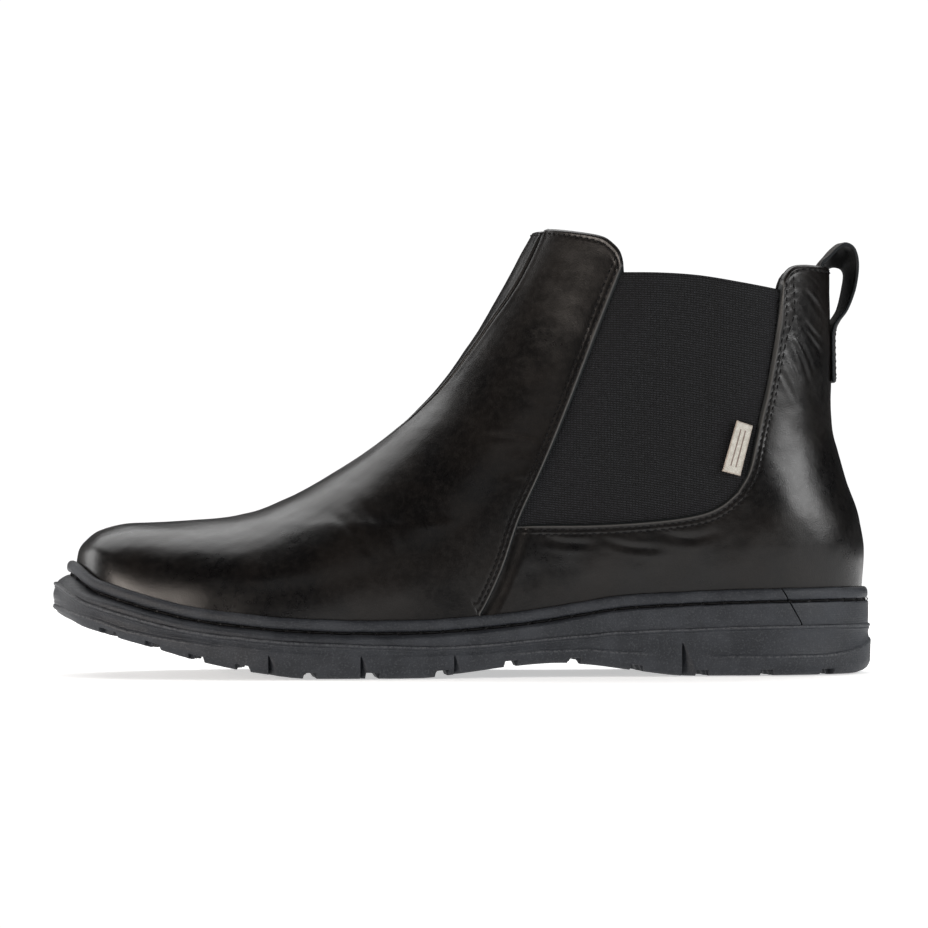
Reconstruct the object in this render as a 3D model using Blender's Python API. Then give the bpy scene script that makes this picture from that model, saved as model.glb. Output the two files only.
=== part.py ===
"""Left chelsea boot, about EU 43, as separate pieces.

Toe towards -X, heel towards +X, lateral (outer) side towards -Y, +Z up. The origin is on the
ground under the middle of the sole. Lengths below are in millimetres; meshes are made in metres.
"""

import math

import bmesh
import bpy
import numpy as np

MM = 0.001

# Wall layers, as depths under the outer surface of the upper
LEATHER = (0.0, 1.5)
UNDER_LEATHER = 1.8
ELASTIC = (2.3, 3.3)
STIFFENER = (2.0, 3.5)
FOAM = (2.0, 3.6)
LINING = (4.2, 5.2)
LAP = 7.0  # how far a quarter runs on under the vamp's edge
LAP_RAMP = 6.0  # length over which it dives under
ELASTIC_HEM = 8.0  # elastic hidden behind the leather all round

# Bottom layers, as heights under the featherline, where the upper meets the welt
LASTING_RADIUS = 4.5
LASTING_WIDTH = 11.0
FOOTBED = (2.3, -0.6)
BOARD = (-0.8, -2.3)
SHANK = (-3.1, -4.3)
FILLER = (-4.8, -6.3)
CORE_TOP = -6.6
FLOOR_THICKNESS = 6.0
CUP_WALL = -0.9  # inner face of the outsole's side wall, outward from the featherline
PIECE_GAP = 0.3

SHANK_RUN = (2.0, 104.0)
SHANK_HALF_WIDTH = 7.0
GROOVE_DEPTH = 2.2
GROOVE_WIDTH = 5.4
GROOVES = (-121.0, -97.0, -58.5, -32.5, -7.5, 17.5, 41.0, 65.0, 89.5, 111.0)
GROOVE_WALL = 0.5
WELT_JOINT = 113.5  # where the welt's two ends meet, on the lateral side
WELT_THREAD_RADIUS = 0.42

COLLAR_FOLD = 1.4  # how far a quarter lining ends below the collar
LOOP_WIDTH = 17.0
LOOP_THICKNESS = 1.8
LOOP_LEAN = 1.0  # how far the strap's lateral edge lies behind its middle
LOOP_PIVOT = (139.0, 131.0)
LABEL_DEPTHS = (0.4, 1.3)
SEAM_THREAD_RADIUS = 0.32
SEAM_THREAD_HEIGHT = 0.65
SEAM_ROWS = (2.0, 3.8)  # distances of the two stitch rows from a cut edge

SIDES = {"lateral": -1.0, "medial": 1.0}


# ---------------------------------------------------------------- curves


def smooth(*knots):
    """A function through (position, value) knots that rises and falls only as they do."""
    at, value = np.array(knots, float).T
    step = np.diff(at)
    slope = np.diff(value) / step
    tangent = np.zeros_like(value)
    tangent[0], tangent[-1] = slope[0], slope[-1]
    for i in range(1, len(value) - 1):
        if slope[i - 1] * slope[i] > 0:
            before, after = 2 * step[i] + step[i - 1], step[i] + 2 * step[i - 1]
            tangent[i] = (before + after) / (before / slope[i - 1] + after / slope[i])

    def function(position):
        position = np.asarray(position, float)
        i = np.clip(np.searchsorted(at, position) - 1, 0, len(step) - 1)
        raw = (position - at[i]) / step[i]
        t = np.clip(raw, 0, 1)
        inside = (
            (2 * t**3 - 3 * t**2 + 1) * value[i]
            + (t**3 - 2 * t**2 + t) * step[i] * tangent[i]
            + (3 * t**2 - 2 * t**3) * value[i + 1]
            + (t**3 - t**2) * step[i] * tangent[i + 1]
        )
        end = np.where(raw < 0, tangent[i], tangent[i + 1])
        return inside + end * (raw - t) * step[i]

    return function


def dense(points, per_span=24):
    """A rounded line through the points, as many short steps."""
    p = np.array(points, float)
    p = np.vstack([2 * p[0] - p[1], p, 2 * p[-1] - p[-2]])
    spans = []
    for a, b, c, d in zip(p, p[1:], p[2:], p[3:]):
        t = np.linspace(0, 1, per_span, endpoint=False)[:, None]
        turn = (c - a) * t + (2 * a - 5 * b + 4 * c - d) * t**2 + (3 * b - a - 3 * c + d) * t**3
        spans.append(b + turn / 2)
    return np.vstack([*spans, p[-2]])


def along(line, fractions):
    """Points at these fractions of a line's length."""
    line = np.asarray(line, float)
    run = np.concatenate([[0], np.cumsum(np.linalg.norm(np.diff(line, axis=0), axis=1))])
    wanted = np.asarray(fractions) * run[-1]
    return np.stack([np.interp(wanted, run, column) for column in line.T], axis=-1)


def ease(value, low, high):
    """0 below low, 1 above high, and a smooth step between."""
    t = np.clip((np.asarray(value, float) - low) / (high - low), 0, 1)
    return t * t * (3 - 2 * t)


# ---------------------------------------------------------------- the last: the upper's outer surface

# Height of the toe and instep line, and of the shaft's front carried on above the collar
ridge_height = smooth(
    (-145, 20), (-143.6, 37), (-142.4, 45.3), (-139.5, 49.2), (-134.5, 52.6), (-124, 55.1),
    (-108, 56.0), (-92, 57.0), (-80, 59.2), (-65, 64.8), (-50, 72.7), (-28, 88), (-13, 102.3),
    (2, 121.6), (12, 138.5), (25.6, 163.5), (36, 183), (60, 228), (160, 420),
)  # fmt: skip
back_line = smooth(
    (10, 147.2), (33, 148.4), (44, 149.2), (56, 147.8), (71, 142.8), (82, 139.4), (91, 137.3),
    (101, 136.8), (112, 137.1), (131, 136.5), (150.3, 136.3), (180, 136.3),
)  # fmt: skip
featherline = smooth(
    (-150, 41), (-143.5, 39), (-138.8, 36.6), (-132, 34), (-117.6, 29.3), (-99, 25), (-83, 23),
    (-65, 21.4), (-37, 20.6), (-20, 20.8), (-3, 21.8), (19, 24), (40, 27.1), (52, 29),
    (76, 30.4), (106, 31.4), (130, 31.7), (152, 31.5),
)  # fmt: skip
middle = smooth((-150, 9), (-110, 8.5), (-75, 6.5), (-40, 4), (0, 1.5), (40, 0.5), (80, 0), (160, 0))
front_depth = smooth((-145, 33), (-105, 34), (-60, 42), (-20, 55), (20, 56), (60, 50), (160, 50))
BACK_DEPTH = 45.0

LEVELS = np.array([0.0, 15.0, 45.0, 85.0, 130.0])  # heights over the featherline
HALF_WIDTHS = {
    "lateral": (
        smooth((-145, 40), (-120, 42.5), (-95, 47.5), (-75, 50), (-50, 49.5), (-10, 44.5), (40, 36.5),
               (90, 34.5), (120, 35), (150, 35)),
        smooth((-145, 41), (-120, 44), (-95, 49), (-75, 51), (-50, 50), (-10, 44), (40, 37),
               (90, 35.5), (120, 36.5), (150, 36.5)),
        smooth((-145, 42), (-75, 47), (-50, 46), (-10, 40.5), (40, 36), (90, 34.8), (150, 35)),
        smooth((-60, 38), (-10, 36), (40, 34.3), (90, 33.5), (150, 33.2)),
        smooth((-60, 36), (20, 34.5), (80, 35.5), (150, 34)),
    ),
    "medial": (
        smooth((-145, 30), (-125, 31.5), (-105, 35), (-80, 38.5), (-60, 37.5), (-40, 35), (0, 31.5),
               (45, 30.5), (90, 33), (120, 35), (150, 35)),
        smooth((-145, 31), (-125, 33), (-105, 36.5), (-80, 40), (-60, 39), (-40, 36.5), (0, 33),
               (45, 32.5), (90, 34.5), (120, 36), (150, 36)),
        smooth((-145, 32), (-80, 38), (-40, 35.5), (0, 34), (45, 33.5), (90, 34), (150, 34.5)),
        smooth((-60, 36), (-10, 34), (40, 33.3), (90, 33), (150, 33)),
        smooth((-60, 35), (20, 33.8), (80, 34.8), (150, 33.6)),
    ),
}  # fmt: skip

_xs = np.arange(-145.0, 160.0, 0.05)
_zs = ridge_height(_xs)


def ridge_front(z):
    """The x at which the ridge line reaches the height z."""
    return np.interp(z, _zs, _xs)


def half_width(x, z, side):
    """Half the upper's width at (x, z), before it rounds off towards the ridge and the back."""
    levels = np.stack([level(x) for level in HALF_WIDTHS[side]])
    slopes = np.gradient(levels, LEVELS, axis=0)
    h = np.clip(z - featherline(x), LEVELS[0], LEVELS[-1])
    i = np.clip(np.searchsorted(LEVELS, h) - 1, 0, len(LEVELS) - 2)
    step = (LEVELS[1:] - LEVELS[:-1])[i]
    t = (h - LEVELS[i]) / step

    def pick(table, index):
        return np.take_along_axis(table, np.asarray(index)[None], axis=0)[0]

    return (
        (2 * t**3 - 3 * t**2 + 1) * pick(levels, i)
        + (t**3 - 2 * t**2 + t) * step * pick(slopes, i)
        + (3 * t**2 - 2 * t**3) * pick(levels, i + 1)
        + (t**3 - t**2) * step * pick(slopes, i + 1)
    )


def roundness(x, z):
    """Square of how far the upper has opened out: 0 on the ridge and the back line, then 1."""
    dx = x - ridge_front(z)
    dz = ridge_height(x) - z
    front = dx * np.abs(dz) / np.sqrt(dx * dx + dz * dz + 1e-9) / front_depth(x)
    back = (back_line(z) - x) / BACK_DEPTH
    return (1 - (1 - np.minimum(front, 1)) ** 2) * (1 - (1 - np.minimum(back, 1)) ** 2)


def level_set(x, y, z, side):
    return ((y - middle(x)) / half_width(x, z, side)) ** 2 - roundness(x, z)


def skin(xz, side, on_ridge=None):
    """Points and outward normals of the upper's outer surface over (x, z) points."""
    x, z = np.asarray(xz, float)[..., 0], np.asarray(xz, float)[..., 1]
    open_by = np.sqrt(np.clip(roundness(x, z), 0, None))
    if on_ridge is not None:
        open_by = np.where(on_ridge, 0, open_by)
    y = middle(x) + SIDES[side] * half_width(x, z, side) * open_by
    small = 0.2
    normal = np.stack(
        [
            level_set(x + small, y, z, side) - level_set(x - small, y, z, side),
            level_set(x, y + small, z, side) - level_set(x, y - small, z, side),
            level_set(x, y, z + small, side) - level_set(x, y, z - small, side),
        ],
        axis=-1,
    )
    normal /= np.linalg.norm(normal, axis=-1, keepdims=True)
    return np.stack([x, y, z], axis=-1), normal


def crossing(inside, outside, height):
    """Where the surface at that height above the featherline closes, between two x values."""
    for _ in range(50):
        mid = (inside + outside) / 2
        if roundness(mid, featherline(mid) + height) > 0:
            inside = mid
        else:
            outside = mid
    return inside


TOE_TIP = crossing(-100, -150, 0)
HEEL_TIP = crossing(100, 155, 0)


# ---------------------------------------------------------------- seams, as lines in the side view

vamp_seam_x = smooth(
    (15, -3.0), (21.7, 1.4), (38.8, 9.8), (56.2, 16), (72.1, 23.4), (88.8, 30.7), (111.4, 39.8),
    (130.3, 47.1), (142.3, 51.9), (147.4, 54.2), (165, 61),
)  # fmt: skip
SEAM_FOOT, SEAM_TURN, SEAM_TOP = 22.2, 55.4, 147.4
FRONT_COLLAR = [(25.6, 163.5), (33, 162.7), (46, 160.2), (50.6, 157.4), (53.4, 153.4), (54.2, 147.4)]
GUSSET_BOTTOM = [(17.8, 55.4), (45.2, 55.6), (67.2, 57), (81.9, 59.2), (90, 62.4), (96, 67.3)]
GUSSET_REAR = [(96, 67.3), (100.4, 75), (103.2, 86), (105.5, 95.1), (108.3, 106.1), (110.9, 118.9),
               (112.7, 129.8), (113.9, 141.2)]  # fmt: skip
BACK_COLLAR = [(136.3, 150.3), (130.8, 150.4), (123.1, 150.5), (118.4, 149.2), (115.4, 146),
               (113.9, 141.2)]  # fmt: skip
GUSSET_TOP = [(46.3, 147.6), (54.6, 147.4), (67.5, 147.1), (82.2, 146.1), (96.9, 143.9),
              (113.9, 141.2), (122, 139.9)]  # fmt: skip
ELASTIC_BOTTOM = [(11.5, 60), (24, 54.4), (36, 47.8), (67, 49), (85, 51.2), (97, 56), (104, 65)]
ELASTIC_REAR = [(104, 65), (110.5, 86), (116, 106), (119, 119), (120.7, 130), (122, 139.9)]


def vamp_seam(low, high, shift=0.0, count=40):
    z = np.linspace(low, high, count)
    return np.stack([vamp_seam_x(z) + shift, z], axis=1)


# ---------------------------------------------------------------- patches: grids of (x, z) points


def collar_pull(columns, collar, spread):
    """Bends the last columns of a patch to the curve of its collar."""
    pull = along(collar, spread) - columns[-1]
    weight = ease(np.linspace(0, 1, len(columns)), 0.72, 1.0)
    return columns + weight[:, None, None] * pull


def vamp_columns(count, rows, foot=0.0):
    """Lines round the vamp, from the ridge down to the featherline or the vamp seam."""
    fractions = np.linspace(0, 1, count)
    tip = crossing(-100, -150, foot)
    ridge_x = tip + (25.6 - tip) * np.linspace(0, 1, 4000) ** 2
    ridge = np.stack([ridge_x, ridge_height(ridge_x)], axis=1)
    ridge[0, 1] = featherline(tip) + foot
    foot_x = tip + (vamp_seam_x(SEAM_FOOT) - tip) * np.linspace(0, 1, 400) ** 2
    foot_line = np.stack([foot_x, featherline(foot_x) + foot], axis=1)
    plan = skin(foot_line, "lateral")[0]
    run = np.concatenate([[0], np.cumsum(np.linalg.norm(np.diff(plan, axis=0), axis=1))])
    seam = vamp_seam(foot_line[-1, 1], SEAM_TOP)
    rise = np.concatenate([[0], np.cumsum(np.linalg.norm(np.diff(seam, axis=0), axis=1))])
    edge = np.vstack([foot_line, seam[1:]])
    total = np.concatenate([run, run[-1] + rise[1:]])
    wanted = fractions * total[-1]
    lower = np.stack([np.interp(wanted, total, edge[:, i]) for i in (0, 1)], axis=1)
    upper = along(ridge, fractions)
    spread = 1 - np.cos(np.linspace(0, math.pi / 2, rows))
    columns = upper[:, None] + spread[None, :, None] * (lower - upper)[:, None]
    columns = collar_pull(columns, dense(FRONT_COLLAR), spread)
    on_featherline = fractions * total[-1] <= run[-1] + 1e-6
    return columns, on_featherline


def unrolled(xz):
    """(x, z) to (distance round the back from the back seam, z)."""
    q = (back_line(xz[:, 1]) - xz[:, 0]) / BACK_DEPTH
    round_part = np.arccos(1 - np.clip(q, 0, 1))
    u = BACK_DEPTH * np.where(q < 1, round_part, math.pi / 2 + q - 1)
    return np.stack([u, xz[:, 1]], axis=1)


def rolled(uz):
    """The way back from unrolled()."""
    a = uz[..., 0] / BACK_DEPTH
    q = np.where(a < math.pi / 2, 1 - np.cos(np.clip(a, 0, math.pi / 2)), 1 + a - math.pi / 2)
    return np.stack([back_line(uz[..., 1]) - BACK_DEPTH * q, uz[..., 1]], axis=-1)


LAP_SHARE, CORNER = 0.05, 0.56  # shares of a quarter's length up to the lap's end and to the heel
LAP_COLUMNS = (0, LAP + 0.6, LAP + 0.5 * LAP_RAMP)  # distances from a quarter's hidden edge


def legs(lines, fractions):
    """Points along three lines end to end, whose ends fall at LAP_SHARE, CORNER and 1."""
    ends = (0, LAP_SHARE, CORNER, 1)
    f = np.asarray(fractions)[:, None]
    found = along(lines[0], np.clip(f[:, 0] / LAP_SHARE, 0, 1))
    for line, low, high in zip(lines[1:], ends[1:], ends[2:]):
        found = np.where(f > low, along(line, np.clip((f[:, 0] - low) / (high - low), 0, 1)), found)
    return found


def quarter_columns(count, rows, foot=0.0):
    """Lines across a quarter, from the featherline and back seam in to the gusset's edge."""
    fractions = np.linspace(LAP_SHARE, 1, count)
    fractions[np.argmin(np.abs(fractions - CORNER))] = CORNER
    hidden = np.array(LAP_COLUMNS) / (LAP + LAP_RAMP) * LAP_SHARE
    fractions = np.concatenate([hidden, fractions])
    tip = crossing(100, 155, foot)
    seam_x = vamp_seam_x(SEAM_FOOT)
    lap_x = np.linspace(seam_x - LAP, seam_x + LAP_RAMP, 30)
    x = tip - (tip - lap_x[-1]) * np.linspace(1, 0, 400) ** 2
    lap_line, foot_line = [np.stack([v, featherline(v) + foot], axis=1) for v in (lap_x, x)]
    z = np.linspace(featherline(tip) + foot, BACK_COLLAR[0][1], 100)
    back_seam = np.stack([0 * z, z], axis=1)
    outer = legs([unrolled(lap_line), unrolled(foot_line), back_seam], fractions)
    bottom_x, bottom_z = GUSSET_BOTTOM[0]
    lap_line = np.stack([lap_x - seam_x + bottom_x, np.full(len(lap_x), bottom_z)], axis=1)
    bottom = dense([lap_line[-1], *GUSSET_BOTTOM[1:]])
    inner = legs([unrolled(lap_line), unrolled(bottom), unrolled(dense(GUSSET_REAR))], fractions)
    across = np.linspace(0, 1, rows)
    columns = outer[:, None] + across[None, :, None] * (inner - outer)[:, None]
    columns = collar_pull(columns, unrolled(dense(BACK_COLLAR)), across)
    return rolled(columns), fractions <= CORNER, fractions >= CORNER


def coons(bottom, rear, top, front, columns, rows):
    """A grid filling four curves: bottom and top run rearwards, front and rear upwards."""
    s, t = np.linspace(0, 1, columns), np.linspace(0, 1, rows)
    b, u = along(dense(bottom), s), along(dense(top), s)
    f, r = along(dense(front), t), along(dense(rear), t)
    s, t = s[:, None, None], t[None, :, None]
    corners = (1 - s) * (1 - t) * b[0] + s * (1 - t) * b[-1] + (1 - s) * t * u[0] + s * t * u[-1]
    return (1 - t) * b[:, None] + t * u[:, None] + (1 - s) * f[None] + s * r[None] - corners


# ---------------------------------------------------------------- the ring round the sole


def stations(count, extra=()):
    """x values from the toe tip to the heel tip, closer together at both ends."""
    swing = 1 - np.cos(np.linspace(0, math.pi, count))
    xs = TOE_TIP + (HEEL_TIP - TOE_TIP) * swing / 2
    xs = [x for x in xs if all(abs(x - e) > 1.2 for e in extra)]
    return np.array(sorted([*xs, *extra]))


class Ring:
    """The featherline as a closed ring: lateral side toe to heel, then medial side back."""

    def __init__(self, xs):
        self.x = np.concatenate([xs, xs[-2:0:-1]])
        ends = np.zeros(len(xs), bool)
        ends[0] = ends[-1] = True
        line = np.stack([xs, featherline(xs)], axis=1)
        lateral, out_lateral = skin(line, "lateral", ends)
        medial, out_medial = skin(line, "medial", ends)
        self.point = np.vstack([lateral, medial[-2:0:-1]])
        out = np.vstack([out_lateral, out_medial[-2:0:-1]])[:, :2]
        self.out = out / np.linalg.norm(out, axis=1, keepdims=True)
        self.count = len(xs)

    def row(self, outward, height):
        """The ring moved outward, with its height given over the featherline there."""
        inward = np.broadcast_to(np.minimum(outward, 0), self.x.shape)
        return self.at(outward, featherline(self.x + self.out[:, 0] * inward) + height)

    def at(self, outward, z):
        plan = self.point[:, :2] + self.out * np.broadcast_to(outward, self.x.shape)[:, None]
        return np.column_stack([plan, np.broadcast_to(z, self.x.shape)])


welt_width = smooth(
    (-150, 8.5), (-125, 8.2), (-90, 7.2), (-50, 6.8), (0, 5.6), (40, 4.8), (90, 3.7), (125, 3.3),
    (152, 3.4),
)  # fmt: skip
welt_bottom = smooth(
    (-150, -7.4), (-125, -8.2), (-65, -8.0), (-38, -8.4), (-10, -9.7), (23, -10.4), (42, -11.8),
    (60, -12.9), (150, -13.4),
)  # fmt: skip
tread_line = smooth(
    (-156, 28), (-150, 22.5), (-143, 19.0), (-131, 15), (-116, 10.7), (-99, 5.9), (-81, 2.3),
    (-60, 0), (-22, 0), (-4, 1.9), (12, 3.9), (30, 5.0), (41, 4.3), (58, 2.1), (78, 0),
    (140, 0), (149, 1.5), (156, 4.0),
)  # fmt: skip


# ---------------------------------------------------------------- mesh makers


def material(name, colour, roughness, metallic=0.0):
    made = bpy.data.materials.new(name)
    made.use_nodes = True
    shader = made.node_tree.nodes["Principled BSDF"]
    shader.inputs["Base Color"].default_value = (*colour, 1)
    shader.inputs["Roughness"].default_value = roughness
    shader.inputs["Metallic"].default_value = metallic
    made.diffuse_color = (*colour, 1)
    return made


def add(name, points, faces, finish, origin=(0, 0, 0)):
    """An object from points in millimetres, with its faces turned outward."""
    mesh = bpy.data.meshes.new(name)
    centre = np.array(origin, float)
    mesh.from_pydata((np.asarray(points) - centre) * MM, [], faces)
    made = bmesh.new()
    made.from_mesh(mesh)
    bmesh.ops.recalc_face_normals(made, faces=made.faces)
    made.to_mesh(mesh)
    made.free()
    mesh.shade_smooth()
    mesh.set_sharp_from_angle(angle=math.radians(40))
    mesh.materials.append(finish)
    thing = bpy.data.objects.new(name, mesh)
    thing.location = centre * MM
    bpy.context.scene.collection.objects.link(thing)
    return thing


class Sheet:
    """An open surface with normals, gathered from grids and welded where they meet."""

    def __init__(self):
        self.points, self.normals, self.faces, self.depths = [], [], [], []

    def grid(self, points, normals, depth=0.0):
        first = len(self.points)
        columns, rows = points.shape[:2]
        self.points.extend(points.reshape(-1, 3))
        self.normals.extend(normals.reshape(-1, 3))
        self.depths.extend(np.broadcast_to(depth, (columns, rows)).reshape(-1))
        for i in range(columns - 1):
            for j in range(rows - 1):
                a = first + i * rows + j
                self.faces.append((a, a + 1, a + rows + 1))
                self.faces.append((a, a + rows + 1, a + rows))

    def solid(self, name, layer, finish, origin=(0, 0, 0)):
        """The shell between two depths under the sheet."""
        points = np.array(self.points)
        _, first, index = np.unique(
            np.round(points, 3), axis=0, return_index=True, return_inverse=True
        )
        index = index.reshape(-1)
        normals = np.zeros((len(first), 3))
        np.add.at(normals, index, np.array(self.normals))
        normals /= np.linalg.norm(normals, axis=1, keepdims=True)
        depths = np.array(self.depths)[first][:, None]
        points = points[first]
        top = points - normals * (layer[0] + depths)
        under = points - normals * (layer[1] + depths)
        faces = []
        for face in self.faces:
            corners = []
            for vertex in face:
                if index[vertex] not in corners:
                    corners.append(int(index[vertex]))
            if len(corners) > 2:
                faces.append(corners)
        uses = {}
        for face in faces:
            for a, b in zip(face, face[1:] + face[:1]):
                uses.setdefault((min(a, b), max(a, b)), []).append((a, b))
        n = len(points)
        rim = [(b, a, a + n, b + n) for ((a, b), *more) in uses.values() if not more]
        under_faces = [[v + n for v in reversed(face)] for face in faces]
        return add(name, np.vstack([top, under]), [*faces, *under_faces, *rim], finish, origin)


def stacked(name, rings, finish):
    """A closed solid from rings, listed from one end face to the other."""
    length = len(rings[0])
    half = length // 2
    faces = []
    for level in range(len(rings) - 1):
        for i in range(length):
            a, b = level * length + i, level * length + (i + 1) % length
            faces.append((a, b, b + length, a + length))
    for level in (0, len(rings) - 1):
        base = level * length
        for i in range(half):
            corners = [i, i + 1, (length - i - 1) % length, (length - i) % length]
            corners = [base + c for n, c in enumerate(corners) if c not in corners[:n]]
            faces.append(corners)
    return add(name, np.vstack(rings), faces, finish)


def swept(name, sections, finish, closed=False, origin=(0, 0, 0)):
    """A closed solid from equal cross-sections one after another."""
    count, size = len(sections), len(sections[0])
    faces = []
    for i in range(count if closed else count - 1):
        here, there = i * size, (i + 1) % count * size
        for j in range(size):
            k = (j + 1) % size
            faces.append((here + j, here + k, there + k, there + j))
    if not closed:
        faces.append(list(range(size)))
        faces.append([(count - 1) * size + j for j in range(size)])
    return add(name, np.vstack(sections), faces, finish, origin)


def cord(name, points, radius, finish, closed=False):
    """A round thread along a line of points in millimetres."""
    curve = bpy.data.curves.new(name, "CURVE")
    curve.dimensions = "3D"
    curve.bevel_depth = radius * MM
    curve.bevel_resolution = 0
    curve.use_fill_caps = not closed
    spline = curve.splines.new("POLY")
    spline.points.add(len(points) - 1)
    for spot, place in zip(spline.points, points):
        spot.co = (*(np.asarray(place) * MM), 1)
    spline.use_cyclic_u = closed
    curve.materials.append(finish)
    thing = bpy.data.objects.new(name, curve)
    bpy.context.scene.collection.objects.link(thing)
    return thing


# ---------------------------------------------------------------- pieces of the upper


def lasting_rows(points, normals):
    """Turns the featherline end of a panel under the insole board."""
    out = normals[:, :2] / np.linalg.norm(normals[:, :2], axis=1, keepdims=True)
    rows, ways = [points], [normals]
    angles = [math.radians(angle) for angle in (45, 90, 90)]
    shifts = [LASTING_RADIUS * (math.cos(a) - 1) for a in angles[:2]] + [-LASTING_WIDTH]
    for a, shift in zip(angles, shifts):
        plan = points[:, :2] + out * shift
        drop = featherline(plan[:, 0]) - LASTING_RADIUS * math.sin(a)
        rows.append(np.column_stack([plan, drop]))
        ways.append(np.column_stack([out * math.cos(a), np.full(len(points), -math.sin(a))]))
    return np.stack(rows, axis=1), np.stack(ways, axis=1)


VAMP_GRID = (25, 7)
QUARTER_GRID = (25, 6)
OVER_BOARD = 1.2  # how far linings and stiffeners stop above the featherline


def vamp_grids(columns):
    """The vamp's grid on both sides, joined along the ridge, with its normals."""
    ridge = np.zeros(columns.shape[:2], bool)
    ridge[:, 0] = ridge[0] = True
    return [skin(columns, side, ridge) for side in SIDES]


def build_vamp(finish):
    sheet = Sheet()
    columns, on_featherline = vamp_columns(*VAMP_GRID)
    for points, normals in vamp_grids(columns):
        sheet.grid(points, normals)
        sheet.grid(*lasting_rows(points[on_featherline, -1], normals[on_featherline, -1]))
    return sheet.solid("vamp", LEATHER, finish)


def build_vamp_layer(name, layer, finish, columns=None, rows=None):
    """A lining or stiffener under the vamp, over its first columns and rows."""
    sheet = Sheet()
    grid = vamp_columns(*VAMP_GRID, foot=OVER_BOARD)[0][:columns, :rows]
    for points, normals in vamp_grids(grid):
        sheet.grid(points, normals)
    return sheet.solid(name, layer, finish)


def lap_depth(columns):
    """How far a quarter dives to pass under the vamp's edge."""
    behind = columns[..., 0] - vamp_seam_x(columns[..., 1])
    return (UNDER_LEATHER + PIECE_GAP) * (1 - ease(behind, 0.8, LAP_RAMP - 0.2))


def off_the_seam(points, side):
    """Keeps a quarter's edge clear of the other quarter's, on the back seam."""
    clear = SIDES[side] * PIECE_GAP / 2
    near = np.abs(points[..., 1]) < abs(clear)
    points[..., 1] = np.where(near, clear, points[..., 1])
    return points


def quarter_grid(side, foot=0.0, fold=0.0):
    """A quarter's grid, its normals, and which columns stand on the featherline."""
    columns, standing, backing = quarter_columns(*QUARTER_GRID, foot=foot)
    columns[..., 1] -= fold * ease(columns[..., 1], 138, 150)
    seam = np.zeros(columns.shape[:2], bool)
    seam[backing, 0] = True
    return columns, *skin(columns, side, seam), standing


def build_quarter(side, finish):
    sheet = Sheet()
    columns, points, normals, standing = quarter_grid(side)
    points = off_the_seam(points, side)
    depth = lap_depth(columns)
    sheet.grid(points, normals, depth)
    lasted = standing & (depth[:, 0] < 0.01)
    rows, ways = lasting_rows(points[lasted, 0], normals[lasted, 0])
    sheet.grid(off_the_seam(rows, side), ways)
    return sheet.solid(f"quarter_{side}", LEATHER, finish)


def build_quarter_lining(side, finish):
    sheet = Sheet()
    _, points, normals, _ = quarter_grid(side, foot=OVER_BOARD, fold=COLLAR_FOLD)
    clear_of_vamp = len(LAP_COLUMNS) - 1
    sheet.grid(off_the_seam(points, side)[clear_of_vamp:], normals[clear_of_vamp:])
    return sheet.solid(f"quarter_lining_{side}", LINING, finish)


COUNTER_COLUMNS, COUNTER_ROWS = slice(11, 24), slice(0, 4)


def build_heel_counter(finish):
    sheet = Sheet()
    for side in SIDES:
        _, points, normals, _ = quarter_grid(side, foot=OVER_BOARD)
        sheet.grid(points[COUNTER_COLUMNS, COUNTER_ROWS], normals[COUNTER_COLUMNS, COUNTER_ROWS])
    return sheet.solid("heel_counter", STIFFENER, finish)


def build_collar_foam(side, finish):
    sheet = Sheet()
    u, z = np.meshgrid(np.linspace(12, 26, 3), np.linspace(124, 147.0, 4), indexing="ij")
    sheet.grid(*skin(rolled(np.stack([u, z], axis=-1)), side))
    return sheet.solid(f"collar_foam_{side}", FOAM, finish)


def build_gusset(side, finish):
    sheet = Sheet()
    front = vamp_seam(ELASTIC_BOTTOM[0][1], SEAM_TOP + 0.2, shift=-ELASTIC_HEM, count=8)
    front[0] = ELASTIC_BOTTOM[0]
    front[-1] = GUSSET_TOP[0]
    grid = coons(ELASTIC_BOTTOM, ELASTIC_REAR, GUSSET_TOP, front, 10, 10)
    below = grid[..., 1] < SEAM_TURN + 3
    depth = np.where(below, lap_depth(grid) * 0.5, 0)
    sheet.grid(*skin(grid, side), depth)
    return sheet.solid(f"gusset_{side}", ELASTIC, finish)


def strap_patch(name, heights, layer, finish):
    """A strap's sewn end, lying flat on or under the leather at the back seam."""
    sheet = Sheet()
    half = LOOP_WIDTH / 2
    u, z = np.meshgrid(np.linspace(0, half, 4), np.linspace(*heights, 5), indexing="ij")
    columns = rolled(np.stack([u, z], axis=-1))
    seam = np.zeros(columns.shape[:2], bool)
    seam[0] = True
    for side in SIDES:
        sheet.grid(*skin(columns, side, seam))
    return sheet.solid(name, layer, finish)


def build_pull_loop(finish):
    """The free part of the strap, which swings about its lower end."""
    line = dense([(133.4, 151.9), (134.9, 154), (137.3, 156.8), (140.2, 158.9), (143, 157.8),
                  (144.4, 154.5), (144.7, 150), (144.1, 144), (143.2, 140), (141.9, 136),
                  (139.9, 131.4)])  # fmt: skip
    shares = np.linspace(0, 1, 22)
    spots = along(line, shares)
    heading = np.gradient(spots, axis=0)
    heading /= np.linalg.norm(heading, axis=1, keepdims=True)
    across = np.column_stack([-heading[:, 1], heading[:, 0]]) * LOOP_THICKNESS / 2
    half = LOOP_WIDTH / 2
    lean = LOOP_LEAN * np.sin(math.pi * shares)
    sections = []
    for spot, over, shift in zip(spots, across, lean):
        outer, inner = spot + over, spot - over
        corners = [(outer, -1), (outer, 1), (inner, 1), (inner, -1)]
        sections.append([(place[0] - end * shift, end * half, place[1]) for place, end in corners])
    pivot = (LOOP_PIVOT[0], 0, LOOP_PIVOT[1])
    return swept("pull_loop", sections, finish, origin=pivot)


LABEL_FRONT = ((90.6, 74.6), (96.1, 93.2))
LABEL_REAR = ((97.3, 72.8), (102.2, 91.2))


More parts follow.
